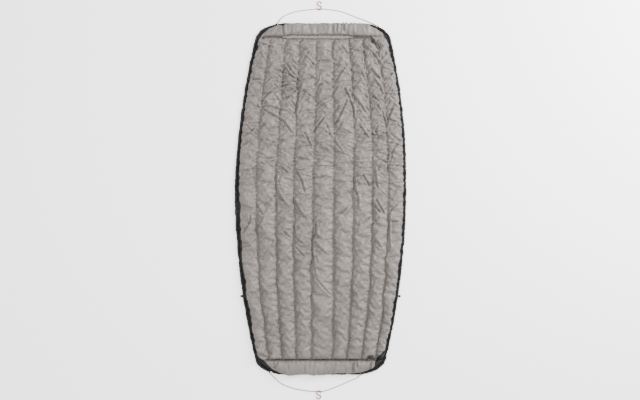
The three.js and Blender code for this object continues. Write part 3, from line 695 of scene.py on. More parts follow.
def seam_creases(x, y, seed, gap, length, long_tail, depth, width, strength):
    """Heights of the creases that run out of every seam into the chambers beside it.

    gap, length, depth and width are ranges to draw from; strength goes from the foot half to the head half.
    """
    rng = np.random.default_rng(seed)
    z = np.zeros(x.shape)
    y_column = y[:, 0]
    for seam, inward in [(k + side, 1 - 2 * side) for k in range(CHAMBERS) for side in (0, 1)]:
        column = min(max(seam * PER_CHAMBER, STRIP), x.shape[1] - 1 - STRIP)
        at = FOOT_SEAM_Y + 0.01
        while at < HEAD_SEAM_Y - 0.01:
            upper = float(smooth((at + 0.25) / 0.5))
            at += rng.uniform(*gap)
            row = min(len(y_column) - 1, int(np.searchsorted(y_column, at)))
            slant = 0.7 * float(smooth((at - 0.25) / 0.3)) - 0.45 * inward * float(smooth((-0.15 - at) / 0.3))
            heading = rng.normal(slant, 0.45)
            reach = rng.uniform(*length) + rng.uniform(0, long_tail) * upper * (rng.random() < 0.6)
            bend = rng.normal(0, 0.35)
            points = [np.array([x[row, column], at])]
            for n in range(3):
                turn = heading + bend * n / 2
                points.append(points[-1] + reach / 3 * np.array([inward * np.cos(turn), np.sin(turn)]))
            deep = rng.uniform(*depth) * np.interp(upper, (0, 1), strength)
            press_crease(z, x, y, points, deep, rng.uniform(*width))
    return z


# ---- the cloth simulation ----

SIM_FRAMES = 20
HIGHEST = 0.0455
LOWEST = 0.005
LEAST_LOOSE = -0.05
MOST_LOOSE = -0.14
LOOSE_LEVELS = 20
MOST_MOVED = 0.02
CLOTH_SETTINGS = dict(
    quality=5, mass=0.003, air_damping=1.0, use_pressure=True, uniform_pressure_force=1.0,
    tension_stiffness=25, compression_stiffness=25, shear_stiffness=5, bending_stiffness=20,
    tension_damping=5, compression_damping=5, shear_damping=5, bending_damping=0.5,
    vertex_group_mass="sewn", vertex_group_shrink="loose", shrink_min=LEAST_LOOSE, shrink_max=MOST_LOOSE,
)


def simulated(points, held, loose):
    """The points after the sewn cloth is filled; loose is 0 to 1, how slack it was cut."""
    rows = points.shape[0]
    sheet = make("lining simulation", points.reshape(-1, 3), grid_faces(rows, COLUMNS), LINING_CLOTH)
    sewn_group = sheet.vertex_groups.new(name="sewn")
    sewn_group.add(np.flatnonzero(held.ravel()).tolist(), 1.0, "REPLACE")
    loose_group = sheet.vertex_groups.new(name="loose")
    levels = np.round(loose.ravel() * LOOSE_LEVELS) / LOOSE_LEVELS
    for level in np.unique(levels):
        loose_group.add(np.flatnonzero(levels == level).tolist(), float(level), "REPLACE")
    modifier = sheet.modifiers.new("cloth", "CLOTH")
    for key, value in CLOTH_SETTINGS.items():
        setattr(modifier.settings, key, value)
    modifier.settings.effector_weights.gravity = 0.0
    modifier.collision_settings.use_collision = False
    modifier.collision_settings.use_self_collision = False
    modifier.point_cache.frame_end = SIM_FRAMES
    scene = bpy.context.scene
    for n in range(1, SIM_FRAMES + 1):
        scene.frame_set(n)
    filled = sheet.evaluated_get(bpy.context.evaluated_depsgraph_get())
    moved = np.zeros(rows * COLUMNS * 3)
    filled.to_mesh().vertices.foreach_get("co", moved)
    filled.to_mesh_clear()
    scene.frame_set(1)
    bpy.data.objects.remove(sheet)
    return moved.reshape(rows, COLUMNS, 3)


def puffed_lining():
    """The sewn lining filled and rumpled, as a grid of points."""
    x, y, z = flat_lining()
    held = sewn(y[:, 0])
    big = seam_creases(x, y, 11, gap=(0.032, 0.085), length=(0.03, 0.06), long_tail=0.06,
                       depth=(0.0025, 0.0065), width=(0.008, 0.0125), strength=(0.35, 0.4))
    start_z = np.where(held, z, z + big + 0.001 * waves(x, y, 0.03, 3))
    points = np.stack([x, y, start_z], axis=-1)
    loose = (0.15 + 0.40 * smooth((y + 0.25) / 0.6) + 0.18 * waves(x, y, 0.16, 6)).clip(0, 1)
    in_end = (y > HEAD_SEAM_Y) | (y < FOOT_SEAM_Y)
    loose = np.where(in_end, 0.0, loose)
    moved = simulated(points, held, loose)
    share = np.where(in_end, 0.35, 1.0)[..., None]
    moved = points + share * np.clip(moved - points, -MOST_MOVED, MOST_MOVED)
    return np.where(held[..., None], points, moved)


def finer(p):
    """The points made FINER times closer along the first axis, on smooth curves through them."""
    first = 2 * p[:1] - p[1:2]
    last = 2 * p[-1:] - p[-2:-1]
    q = np.concatenate([first, p, last])
    out = []
    for n in range(FINER):
        t = n / FINER
        out.append(0.5 * ((2 * q[1:-2]) + (-q[:-3] + q[2:-1]) * t
                          + (2 * q[:-3] - 5 * q[1:-2] + 4 * q[2:-1] - q[3:]) * t * t
                          + (-q[:-3] + 3 * q[1:-2] - 3 * q[2:-1] + q[3:]) * t ** 3))
    woven_in = np.stack(out, axis=1).reshape(-1, *p.shape[1:])
    return np.concatenate([woven_in, p[-1:]])


def finer_between(p, joints):
    """finer(), with a sharp turn kept at each joint."""
    parts = [finer(p[a:b + 1]) for a, b in zip(joints[:-1], joints[1:])]
    return np.concatenate([parts[0], *[part[1:] for part in parts[1:]]])


def seam_row(points, seam_y):
    return int(np.argmin(np.abs(points[:, 0, 1] - seam_y)))


coarse = puffed_lining()
seam_rows = [seam_row(coarse, seam_y) for seam_y in (FOOT_SEAM_Y, HEAD_SEAM_Y)]
lining_points = finer_between(coarse, [0, *seam_rows, len(coarse) - 1])
seam_columns = [k * PER_CHAMBER for k in range(CHAMBERS + 1)]
lining_points = finer_between(lining_points.swapaxes(0, 1), seam_columns).swapaxes(0, 1)
STRIP *= FINER
PER_CHAMBER *= FINER
ROWS, COLUMNS = lining_points.shape[:2]
FOOT_ROW = seam_row(lining_points, FOOT_SEAM_Y)
HEAD_ROW = seam_row(lining_points, HEAD_SEAM_Y)

# ---- fine creases, named folds and what lies on the quilt ----

# Long folds pressed across the lining: the route of each, and its depth.
FOLD_WIDTH = 0.0050
FOLD_STRENGTH = 1.15
FOLDS = [
    ([(-0.118, 0.668), (-0.162, 0.723), (-0.202, 0.781)], 0.0085),
    ([(-0.118, 0.668), (-0.185, 0.711), (-0.266, 0.734)], 0.0065),
    ([(-0.118, 0.665), (-0.225, 0.662), (-0.306, 0.671)], 0.0060),
    ([(-0.121, 0.656), (-0.196, 0.647), (-0.266, 0.624), (-0.318, 0.578), (-0.344, 0.526)], 0.0090),
    ([(-0.133, 0.636), (-0.202, 0.607), (-0.237, 0.590)], 0.0065),
    ([(-0.121, 0.636), (-0.185, 0.578), (-0.208, 0.555)], 0.0060),
    ([(-0.109, 0.659), (-0.127, 0.595), (-0.138, 0.526), (-0.144, 0.468)], 0.0090),
    ([(-0.109, 0.676), (-0.063, 0.682), (-0.028, 0.711)], 0.0060),
    ([(-0.335, 0.520), (-0.283, 0.526), (-0.231, 0.508), (-0.185, 0.500)], 0.0075),
    ([(-0.335, 0.515), (-0.283, 0.485), (-0.208, 0.439), (-0.179, 0.398), (-0.150, 0.358)], 0.0080),
    ([(-0.028, 0.526), (0.006, 0.561), (0.064, 0.590)], 0.0070),
    ([(-0.028, 0.601), (-0.011, 0.642), (0.018, 0.659)], 0.0065),
    ([(-0.051, 0.369), (-0.028, 0.398), (0.006, 0.445), (0.024, 0.474)], 0.0085),
    ([(-0.092, 0.381), (-0.063, 0.317), (-0.051, 0.294)], 0.0070),
    ([(0.035, 0.421), (0.059, 0.352)], 0.0060),
    ([(0.134, 0.636), (0.163, 0.572), (0.186, 0.514), (0.192, 0.427)], 0.0090),
    ([(0.157, 0.630), (0.198, 0.572), (0.233, 0.526), (0.261, 0.479)], 0.0080),
    ([(0.151, 0.561), (0.111, 0.474), (0.076, 0.410)], 0.0090),
    ([(0.076, 0.653), (0.111, 0.711), (0.157, 0.775)], 0.0085),
    ([(0.082, 0.688), (0.117, 0.740), (0.146, 0.781)], 0.0065),
    ([(0.180, 0.630), (0.227, 0.636), (0.261, 0.607)], 0.0055),
    ([(0.291, 0.833), (0.319, 0.804), (0.337, 0.763)], 0.0075),
    ([(0.285, 0.740), (0.319, 0.700), (0.343, 0.676)], 0.0075),
    ([(0.302, 0.682), (0.337, 0.636), (0.354, 0.584)], 0.0080),
    ([(0.296, 0.584), (0.337, 0.549), (0.360, 0.532)], 0.0080),
    ([(0.319, 0.537), (0.354, 0.479), (0.372, 0.416)], 0.0080),
    ([(0.400, 0.810), (0.366, 0.781), (0.340, 0.752)], 0.0060),
    ([(0.405, 0.711), (0.377, 0.688), (0.354, 0.665)], 0.0055),
    ([(0.412, 0.526), (0.389, 0.468), (0.372, 0.410)], 0.0080),
    ([(0.221, 0.421), (0.256, 0.369), (0.279, 0.334)], 0.0085),
    ([(0.261, 0.392), (0.314, 0.358)], 0.0060),
    ([(0.325, 0.421), (0.314, 0.381), (0.328, 0.340)], 0.0070),
    ([(0.377, 0.375), (0.337, 0.372)], 0.0060),
    ([(0.400, 0.247), (0.418, 0.294), (0.447, 0.317)], 0.0070),
    ([(-0.249, 0.329), (-0.208, 0.337)], 0.0055),
    ([(-0.446, 0.352), (-0.405, 0.375), (-0.370, 0.410)], 0.0070),
    ([(-0.028, -0.449), (0.015, -0.500), (0.066, -0.558)], 0.0060),
    ([(-0.428, 0.583), (-0.347, 0.583)], 0.0050),
    ([(-0.312, 0.287), (-0.266, 0.328)], 0.0055),
    ([(-0.254, 0.215), (-0.257, 0.104), (-0.243, 0.035), (-0.191, -0.046)], 0.0085),
    ([(-0.231, 0.191), (-0.179, 0.139)], 0.0060),
    ([(-0.144, 0.168), (-0.109, 0.110), (-0.086, 0.023)], 0.0080),
    ([(-0.162, 0.017), (-0.121, -0.064), (-0.075, -0.122)], 0.0080),
    ([(-0.260, 0.023), (-0.249, -0.058)], 0.0055),
    ([(-0.043, 0.122), (-0.011, 0.119), (0.030, 0.133)], 0.0080),
    ([(-0.109, 0.139), (-0.043, 0.122)], 0.0055),
    ([(-0.028, 0.186), (0.064, 0.183), (0.099, 0.197)], 0.0060),
    ([(0.183, 0.145), (0.198, 0.046), (0.215, 0.000), (0.209, -0.069)], 0.0090),
    ([(0.238, 0.139), (0.285, 0.064)], 0.0075),
    ([(0.302, 0.191), (0.325, 0.046)], 0.0070),
    ([(0.314, 0.000), (0.366, -0.093)], 0.0080),
    ([(0.285, -0.011), (0.343, -0.081)], 0.0070),
    ([(0.447, -0.017), (0.389, -0.075), (0.386, -0.197), (0.392, -0.301)], 0.0090),
    ([(0.082, -0.090), (0.122, -0.075), (0.157, -0.038)], 0.0080),
    ([(0.128, -0.093), (0.186, -0.046)], 0.0060),
    ([(0.204, -0.156), (0.285, -0.104)], 0.0060),
    ([(0.290, -0.151), (0.337, -0.098)], 0.0070),
    ([(-0.028, -0.127), (-0.025, -0.197), (-0.046, -0.226), (-0.051, -0.278), (-0.040, -0.377),
      (-0.028, -0.446)], 0.0090),
    ([(-0.028, -0.197), (-0.005, -0.220)], 0.0060),
    ([(-0.040, -0.238), (0.035, -0.319)], 0.0065),
    ([(-0.156, -0.151), (-0.144, -0.214), (-0.098, -0.261)], 0.0075),
    ([(-0.208, -0.185), (-0.173, -0.220)], 0.0065),
    ([(-0.138, -0.278), (-0.092, -0.330)], 0.0065),
    ([(-0.283, -0.006), (-0.324, -0.040)], 0.0060),
    ([(-0.446, -0.203), (-0.399, -0.122), (-0.402, -0.075)], 0.0075),
    ([(-0.382, -0.006), (-0.324, -0.098)], 0.0055),
    ([(-0.324, -0.098), (-0.359, -0.162), (-0.359, -0.220)], 0.0070),
    ([(-0.341, 0.209), (-0.324, 0.197), (-0.260, 0.220)], 0.0080),
    ([(0.296, -0.214), (0.348, -0.284)], 0.0065),
    ([(0.180, -0.267), (0.209, -0.330)], 0.0055),
    ([(-0.266, -0.232), (-0.341, -0.348)], 0.0050),
    ([(0.377, 0.168), (0.412, 0.261)], 0.0065),
    ([(0.401, 0.162), (0.447, 0.197)], 0.0060),
    ([(0.447, -0.127), (0.401, -0.133)], 0.0060),
    ([(-0.446, -0.272), (-0.393, -0.267)], 0.0060),
]
# Folds of the end chambers and their corners: the route of each, its depth and its width.
END_FOLDS = [
    ([(-0.211, 0.990), (-0.214, 0.960), (-0.206, 0.928)], 0.009, 0.0055),
    ([(0.098, 0.992), (0.095, 0.970), (0.088, 0.945)], 0.006, 0.0050),
    ([(0.118, 0.990), (0.122, 0.965)], 0.006, 0.0050),
    ([(0.137, 0.990), (0.131, 0.950)], 0.006, 0.0050),
    ([(0.185, 0.990), (0.188, 0.970)], 0.004, 0.0050),
    ([(0.268, 0.985), (0.264, 0.965)], 0.004, 0.0050),
    ([(-0.150, 0.930), (-0.120, 0.945)], 0.005, 0.0060),
    ([(-0.245, -0.922), (-0.252, -0.940), (-0.268, -0.966)], 0.010, 0.0060),
    ([(-0.262, -0.925), (-0.272, -0.945)], 0.007, 0.0050),
    ([(0.188, -0.925), (0.180, -0.950), (0.192, -0.984)], 0.007, 0.0055),
    ([(0.205, -0.925), (0.207, -0.960)], 0.006, 0.0050),
    ([(0.287, -0.925), (0.283, -0.950), (0.279, -0.982)], 0.009, 0.0060),
    ([(0.135, -0.985), (0.145, -0.955)], 0.006, 0.0055),
    ([(-0.372, -0.862), (-0.345, -0.880), (-0.300, -0.900), (-0.250, -0.921)], 0.012, 0.0070),
    ([(0.378, -0.842), (0.352, -0.872), (0.318, -0.893), (0.300, -0.905)], 0.012, 0.0070),
    ([(0.330, -0.868), (0.352, -0.872), (0.368, -0.868)], 0.008, 0.0060),
]
CASING_DEEP = 0.0065         # the lining's height under a draw casing
CASING_NARROW = {"head": 0.0026, "foot": 0.0020}
CASING_LENS = 0.0056         # how much wider the head casing gathers in its middle
CASING_SINKS = 0.005         # how far it lies below the lock's cord hole, away from the lock
GROOVE_DEEP = 0.0055
GROOVE_WIDTH = {"head": 0.0040, "foot": 0.0022}
OVERHANG = {"head": 0.0030, "foot": 0.0010}      # how far the cloth bulges over the groove
OVERHANG_FROM = 0.017
OVERHANG_RUN = 0.035
END_BULGE = 0.021            # how far an end chamber bulges over its binding
# Where along x an end chamber bulges so, as shares of END_BULGE.
END_BULGE_SHARES = {
    "head": [(-0.30, 0.0), (-0.24, 0.65), (-0.05, 0.75), (0.04, 1.0), (0.27, 1.0), (0.32, 0.0)],
    "foot": [(-0.27, 0.0), (-0.20, 1.0), (0.06, 1.0), (0.12, 0.55), (0.20, 0.45), (0.25, 0.0)],
}


def casing_lens(end, x):
    """From 0, where a draw casing is narrow, to 1, where the head one is gathered wide."""
    if end == "foot":
        return np.zeros_like(x)
    return smooth((x + 0.225) / 0.05) * smooth((0.190 - x) / 0.06)


def casing_width(end, x):
    """Half the width of a draw casing at x."""
    return CASING_NARROW[end] + CASING_LENS * casing_lens(end, x)


def along_casing(end, x):
    """1 along the draw casing, falling to 0 past its ends."""
    draw = DRAW[end]
    return smooth((x - draw["start"] + 0.02) / 0.02) * smooth((draw["stop"] + 0.02 - x) / 0.02)


def press_casing(points, end):
    """Opens the groove that a draw casing lies in."""
    x, y, z = (points[..., n] for n in range(3))
    beyond = np.abs(y - DRAW[end]["y"]) - casing_width(end, x)
    bottom = np.where(beyond < 0.001, CASING_DEEP, GROOVE_DEEP)
    limit = bottom + 7.0 * np.maximum(0, beyond - GROOVE_WIDTH[end])
    points[..., 2] = np.minimum(z, limit + 0.04 * (1 - along_casing(end, x)))


def bulge_over(points, end):
    """Bulges the filled cloth over the casing's groove, and the end chamber over its binding."""
    seam = DRAW[end]["y"]
    sign = math.copysign(1, seam)
    x, y, z = (points[..., n] for n in range(3))
    away = seam - y
    lifted = smooth((z - OVERHANG_FROM) / 0.006) * smooth((OVERHANG_RUN - np.abs(away)) / OVERHANG_RUN)
    towards = np.sign(away) * OVERHANG[end] * (1 - casing_lens(end, x)) * lifted * along_casing(end, x)
    table = np.array(END_BULGE_SHARES[end])
    out = smooth(((np.abs(y) - abs(seam)) / (PANEL_END - abs(seam)) - 0.4) / 0.4) * (sign * away < 0)
    share = np.interp(x, table[:, 0], table[:, 1]) * (1 + 0.12 * waves(x, x * 0, 0.12, 33))
    height = ((z - EDGE_HEIGHT) / PUFF).clip(0, 1)
    points[..., 1] = y + towards + sign * END_BULGE * share * out * height


def press_under(points, route, clearance, reach):
    """Lowers the lining where a cord or a lock lies on it."""
    line = evenly(route, 0.004)
    low, high = line.min(axis=0) - reach, line.max(axis=0) + reach
    near = ((points[..., :2] > low[:2]) & (points[..., :2] < high[:2])).all(axis=-1)
    at = points[near]
    d = np.linalg.norm(at[:, None, :2] - line[None, :, :2], axis=2)
    nearest = d.argmin(axis=1)
    limit = line[nearest, 2] - clearance + 0.9 * np.maximum(0, d.min(axis=1) - reach * 0.4)
    at[:, 2] = np.minimum(at[:, 2], np.maximum(limit, LOWEST))
    points[near] = at


def finish_lining(points):
    """The filled lining with its fine creases and folds, pressed down under the locks and casings."""
    x, y, z = (points[..., n].copy() for n in range(3))
    fine = seam_creases(x, y, 12, gap=(0.010, 0.03), length=(0.014, 0.032), long_tail=0.05,
                        depth=(0.001, 0.0026), width=(0.0032, 0.0048), strength=(0.8, 1.25))
    fine += seam_creases(x, y, 13, gap=(0.035, 0.08), length=(0.045, 0.07), long_tail=0.05,
                         depth=(0.0035, 0.006), width=(0.0038, 0.0055), strength=(0.15, 1.0))
    inside = np.minimum(HEAD_SEAM_Y - y, y - FOOT_SEAM_Y)
    fine *= smooth(inside / 0.02)
    for path, depth in FOLDS:
        press_crease(fine, x, y, path, FOLD_STRENGTH * depth, FOLD_WIDTH)
    for path, depth, width in END_FOLDS:
        press_crease(fine, x, y, path, depth, width)
    z = z + fine
    past = np.maximum(y - HEAD_SEAM_Y, FOOT_SEAM_Y - y)
    gathers = waves(x, y * 0.12, 0.022, 31) * 0.0006 + waves(x, y * 0.3, 0.05, 32) * 0.0010
    z = z + gathers * smooth(past / 0.01) * smooth((PANEL_END - np.abs(y)) / 0.01)
    points[..., 2] = z.clip(LOWEST, HIGHEST)
    points[0, :, 2] = points[-1, :, 2] = EDGE_HEIGHT
    points[:, 0, 2] = points[:, -1, 2] = EDGE_HEIGHT
    for end in ENDS:
        draw = DRAW[end]
        lock_line = lock_frame(draw, [(-0.005, 0, LOCK_BOTTOM), (0.005, 0, LOCK_BOTTOM)])
        press_under(points, lock_line, 0.0006, 0.016)
        press_under(points, draw_loop_route(draw), CORD_RADIUS + 0.0012, 0.009)
        press_casing(points, end)
    return points


lining_points = finish_lining(lining_points)
filled_to = lining_points.copy()
for end in ENDS:
    bulge_over(lining_points, end)
PANEL = slice(STRIP, COLUMNS - STRIP)
lining_panel = lining_points[:, PANEL]
lining_solid = (lining_panel.reshape(-1, 3), grid_faces(*lining_panel.shape[:2]))
lining = add("lining", lining_solid, LINING_CLOTH, "lining_cloth", "lining_panel")

# ---- shell, insulation and inner walls, all fitted to the lining ----

SHELL_Z = 0.0006
SHELL_ACROSS = 15
SHELL_TUCK = 0.006           # how far the shell reaches into the binding
UNDERSIDE = 0.0012
FILL_CLEAR = 0.0012


def closed_slab(top, bottom):
    """A closed solid between two grids of the same size."""
    rows, columns = top.shape[:2]
    count = rows * columns
    upper = grid_faces(rows, columns)
    lower = grid_faces(rows, columns, count)[:, ::-1]
    rim = [*range(columns)] + [r * columns + columns - 1 for r in range(1, rows)]
    rim += [(rows - 1) * columns + c for c in range(columns - 2, -1, -1)]
    rim += [r * columns for r in range(rows - 2, 0, -1)]
    sides = [(rim[n], count + rim[n], count + rim[(n + 1) % len(rim)], rim[(n + 1) % len(rim)])
             for n in range(len(rim))]
    return np.concatenate([top.reshape(-1, 3), bottom.reshape(-1, 3)]), [*upper, *lower, *sides]


def shell_grid():
    """The shell from the left seam with the lining, under the quilt, to the right seam."""
    left = lining_points[:, STRIP::-1]
    right = lining_points[:, :COLUMNS - 2 - STRIP:-1][:, ::-1]
    left_edge = left[:, -1] - np.array([SHELL_TUCK, 0, 0])
    right_edge = right[:, 0] + np.array([SHELL_TUCK, 0, 0])
    across = np.linspace(0, 1, SHELL_ACROSS)
    under = left_edge[:, None] * (1 - across)[None, :, None] + right_edge[:, None] * across[None, :, None]
    ripple = 0.0004 * waves(under[..., 0], under[..., 1], 0.06, 21)
    under[..., 2] = np.maximum(0.0003, SHELL_Z + ripple * 0.5)
    return np.concatenate([left, left_edge[:, None], under, right_edge[:, None], right], axis=1)


shell_points = shell_grid()
shell_solid = (shell_points.reshape(-1, 3), grid_faces(*shell_points.shape[:2]))
shell = add("shell", shell_solid, SHELL_CLOTH, "shell_cloth", "shell_panel")

# The shell's turned hem is a flat band all round, under the bindings.
HEM_OUTER = 0.0045
HEM_INNER = 0.021
HEM_TOP = 0.0013
HEM_UNDER = 0.0002


def hem_loop(inset):
    """The outline at the given inset, once round, from the right foot corner."""
    start = HALF_LENGTH - inset - CORNER_LENGTH
    turn = start + CORNER_LENGTH * np.sin(np.linspace(0, np.pi / 2, 25))
    y = np.concatenate([-turn[::-1], np.linspace(-start, start, 160)[1:-1], turn])
    right = np.stack([edge_x(1, y, inset), y], axis=1)
    left = np.stack([edge_x(-1, y, inset), y], axis=1)[::-1]
    share = np.linspace(0, 1, 22)[1:-1, None]
    return np.concatenate([right, right[-1] * (1 - share) + left[0] * share,
                           left, left[-1] * (1 - share) + right[0] * share])


outer, inner = hem_loop(HEM_OUTER), hem_loop(HEM_INNER)
hem_rings = [points_at(*loop.T, z)
             for loop, z in ((outer, HEM_UNDER), (outer, HEM_TOP), (inner, HEM_TOP), (inner, HEM_UNDER))]
add("shell_hem", stack(hem_rings, joined=True), SHELL_CLOTH, "shell_cloth", "shell_panel", rounded=False)

FILL_STEP = 6


def lowest_nearby(z, reach):
    """The least of z within reach grid steps of each place."""
    for axis in (0, 1):
        padded = np.pad(z, [(reach, reach) if n == axis else (0, 0) for n in (0, 1)], mode="edge")
        count = z.shape[axis]
        z = np.min([np.take(padded, range(n, n + count), axis=axis) for n in range(2 * reach + 1)], axis=0)
    return z


lowest_lining = lowest_nearby(lining_points[..., 2], FILL_STEP)


def over_floor(top):
    """A closed solid between the top and the shell."""
    bottom = top.copy()
    bottom[..., 2] = UNDERSIDE
    return closed_slab(top, bottom)


def fill_piece(name, rows, columns, node):
    """A chamber's insulation, close under the lining."""
    grid = np.ix_(rows, columns)
    top = filled_to[grid].copy()
    top[..., 2] = np.maximum(UNDERSIDE + 0.001, lowest_lining[grid] - FILL_CLEAR)
    piece = add(name, over_floor(top), WADDING, "insulation", node)


def up_to(first, last, step):
    """Counts from first in steps, ending on last."""
    return np.unique(np.append(np.arange(first, last, step), last))


for k in range(CHAMBERS):
    first = max(k * PER_CHAMBER + 1, STRIP)
    last = min((k + 1) * PER_CHAMBER - 1, COLUMNS - 1 - STRIP)
    rows = up_to(FOOT_ROW + 1, HEAD_ROW - 1, FILL_STEP)
    fill_piece(f"insulation_{k + 1}", rows, up_to(first, last, 5), f"chamber_fill_{k + 1}")
for end, rows in (("head", np.arange(HEAD_ROW + 2, ROWS - 2, 4)), ("foot", np.arange(2, FOOT_ROW - 1, 4))):
    fill_piece(f"insulation_{end}", rows, np.arange(STRIP, COLUMNS - STRIP, 6), f"end_fill_{end}")

WALL_HALF = 0.0003


def wall(name, line, across, node):
    """A thin upright wall of netting under a seam, across being its thickness direction."""
    top = np.stack([line - across * WALL_HALF, line + across * WALL_HALF], axis=1)
    top[..., 2] = np.maximum(UNDERSIDE + 0.001, top[..., 2] - 0.001)
    add(name, over_floor(top), MESH_CLOTH, "baffle_mesh", node, rounded=False)


for k in range(1, CHAMBERS):
    line = lining_points[FOOT_ROW + 1:HEAD_ROW:6, k * PER_CHAMBER]
    wall(f"baffle_{k}", line, np.array([1.0, 0, 0]), f"baffle_wall_{k}")
for end, row in (("head", HEAD_ROW), ("foot", FOOT_ROW)):
    line = lining_points[row, STRIP:COLUMNS - STRIP:9]
    wall(f"end_baffle_{end}", line, np.array([0, 1.0, 0]), f"end_wall_{end}")

# ---- stitching ----

STITCH_PITCH = 0.0045
STITCH_HALF = 0.0016
STITCH_RADIUS = 0.00045


def stitches(name, lines, lift, material, slot="shell_cloth"):
    """Small raised stitches along each line, the way they lie in the sewn seams."""
    parts = []
    for line in lines:
        p = evenly(line, STITCH_PITCH)
        forward, sideways, up = frames_along(p)
        for at, f, s, u in zip(p[1:-1], forward[1:-1], sideways[1:-1], up[1:-1]):
            centre = at + u * lift
            section = np.array([s, u, -s, -u]) * STITCH_RADIUS
            parts.append(stack([centre + f * (share * STITCH_HALF) + section * size
                                for share, size in ((-1, 0.3), (-0.6, 1), (0.6, 1), (1, 0.3))]))
    add(name, merge(parts), material, slot)


chamber_lines = [lining_points[FOOT_ROW:HEAD_ROW + 1, k * PER_CHAMBER] for k in range(1, CHAMBERS)]
stitches("chamber_stitches", chamber_lines, 0.0003, THREAD_GREY, "lining_cloth")
edge_lines = [lining_points[5:-5, column] for column in (STRIP, COLUMNS - 1 - STRIP)]
stitches("edge_stitches", edge_lines, 0.0004, THREAD_BLACK)

# ---- side channels, end bindings and draw channels ----


def corner_heights(first, last, inset, count):
    """Values of |y| from first to last, closer together as the corner turns."""
    start = HALF_LENGTH - inset - CORNER_LENGTH
    turn = [math.asin(min(1, max(0, (y - start) / CORNER_LENGTH))) for y in (first, last)]
    return start + CORNER_LENGTH * np.sin(np.linspace(*turn, count))


def side_route(side, head_y, foot_y):
    """Along a side channel, from its foot corner to its head corner."""
    start = HALF_LENGTH - CHANNEL_INSET - CORNER_LENGTH
    foot = -corner_heights(start, -foot_y, CHANNEL_INSET, 24)[::-1]
    head = corner_heights(start, head_y, CHANNEL_INSET, 24)
    y = np.concatenate([foot[:-1], np.linspace(-start, start, 300), head[1:]])
    return points_at(edge_x(side, y, CHANNEL_INSET), y, CHANNEL_Z)


def gathered(name, route, wide, high, spacing, gather, seed, material, sides=12):
    """A cloth casing along the route, rippled where the cord in it draws it up."""
    p = evenly(route, spacing)
    at = np.arange(len(p)) * spacing
    angle = around(sides)
    ripple = 1 + gather * 0.6 * waves(at, at * 0, 0.011, seed)[:, None] \
        + gather * waves(at[:, None], angle[None, :] * 0.004, 0.017, seed + 1)
    ripple = ripple.clip(0.72, 1.28)
    p[:, 2] = np.maximum(p[:, 2], high * 1.3 + 0.0002)
    p = p + frames_along(p)[1] * (0.0008 * waves(at, at * 0, 0.05, seed + 2))[:, None]
    return p, make(name, *tube(p, wide * ripple, high * ripple.clip(0.72, 1.25), sides), material)


def exit_y(corner):
    return float(EXITS[corner][0][1])


CHANNEL_STEP = 0.0035
CHANNEL_WIDE = {"left": 0.0066, "right": 0.0058}
CHANNEL_HIGH = 0.0042
for name, side in SIDES:
    wide = CHANNEL_WIDE[name]
    edge = side_route(side, exit_y(f"head_{name}"), exit_y(f"foot_{name}"))
    route, channel = gathered(f"binding_{name}", edge, wide, CHANNEL_HIGH, CHANNEL_STEP, 0.10, 60 + side,
                              SHELL_CLOTH)
    place(channel, ROOT, "shell_cloth", f"side_channel_{name}")
    inner = tube(evenly(edge, 0.012), CORD_RADIUS, CORD_RADIUS, 8)
    add(f"elastic_{name}", inner, CORD_GREY, "grey_cord", f"side_cord_{name}")
    seam = route + frames_along(route)[1] * side * wide * 0.5 + np.array([0, 0, 0.0037])
    stitches(f"binding_stitches_{name}", [seam], 0.0004, THREAD_BLACK)

CASING_OPEN = (-0.215, 0.185)    # where the head casing stands open to the light and keeps its own colour; elsewhere its colour is painted shade
BINDING_CLEAR = 0.022
BINDING_WIDE = 0.0058
BINDING_HIGH = 0.0040
CASING_STEP = 0.003
CASING_HIGH = 0.0033


def end_route(end):
    """Along the quilt's end, from near the left corner sleeve to near the right one."""
    sign = 1 if end == "head" else -1
    pieces = []
    for name, side in SIDES:
        start = exit_y(f"{end}_{name}")
        y = corner_heights(abs(start), HALF_LENGTH - CHANNEL_INSET, CHANNEL_INSET, 30)
        x = edge_x(side, sign * y, CHANNEL_INSET)
        keep = np.abs(x) < abs(float(edge_x(side, start, CHANNEL_INSET))) - BINDING_CLEAR
        part = points_at(x[keep], sign * y[keep], CHANNEL_Z)
        pieces.append(part if side < 0 else part[::-1])
    return np.concatenate(pieces)


def casing_line(end):
    """The draw casing's middle, low in its groove up to where it rises: to the light, or to the lock."""
    start, stop, y = (DRAW[end][key] for key in ("start", "stop", "y"))
    low = DRAW_Z - CASING_SINKS
    if end == "foot":
        return [(start, y, low), (stop - 0.06, y, low), (stop, y, DRAW_Z)]
    return [(start, y, low), (-0.230, y, low), (-0.180, y, DRAW_Z), (stop, y, DRAW_Z)]


for end, seed in (("head", 74), ("foot", 75)):
    _, binding = gathered(f"end_binding_{end}_cloth", end_route(end), BINDING_WIDE, BINDING_HIGH,
                          CHANNEL_STEP, 0.07, seed, SHELL_CLOTH)
    place(binding, ROOT, "shell_cloth", f"end_binding_{end}")
    line = casing_line(end)
    wide = casing_width(end, evenly(line, CASING_STEP)[:, 0])[:, None]
    route, casing = gathered(f"draw_casing_{end}", line, wide, CASING_HIGH, CASING_STEP, 0.14,
                             80 + (end == "foot"), CASING_CLOTH)
    # Painted shade: the foot casing, and the head casing outside where it stands open to the light, take the
    # darker copy of its nylon.
    casing.data.materials.append(CASING_PAINTED_SHADE)
    for face in casing.data.polygons:
        if end == "foot" or not CASING_OPEN[0] < face.center.x < CASING_OPEN[1]:
            face.material_index = 1
    place(casing, ROOT, "lining_cloth", f"draw_channel_{end}")
    inner = tube(evenly(line, 0.02)[1:-1], CORD_RADIUS, CORD_RADIUS, 8)
    add(f"draw_elastic_{end}", inner, CORD_BLACK, "black_cord", f"draw_cord_{end}")
    seams = [route + np.concatenate([wide * 0, s * wide * 0.68, wide * 0 + 0.0024], axis=1) for s in (-1, 1)]
    stitches(f"casing_stitches_{end}", seams, 0.0004, THREAD_GREY, "lining_cloth")

# ---- webbing: tabs, sleeves and anchors ----

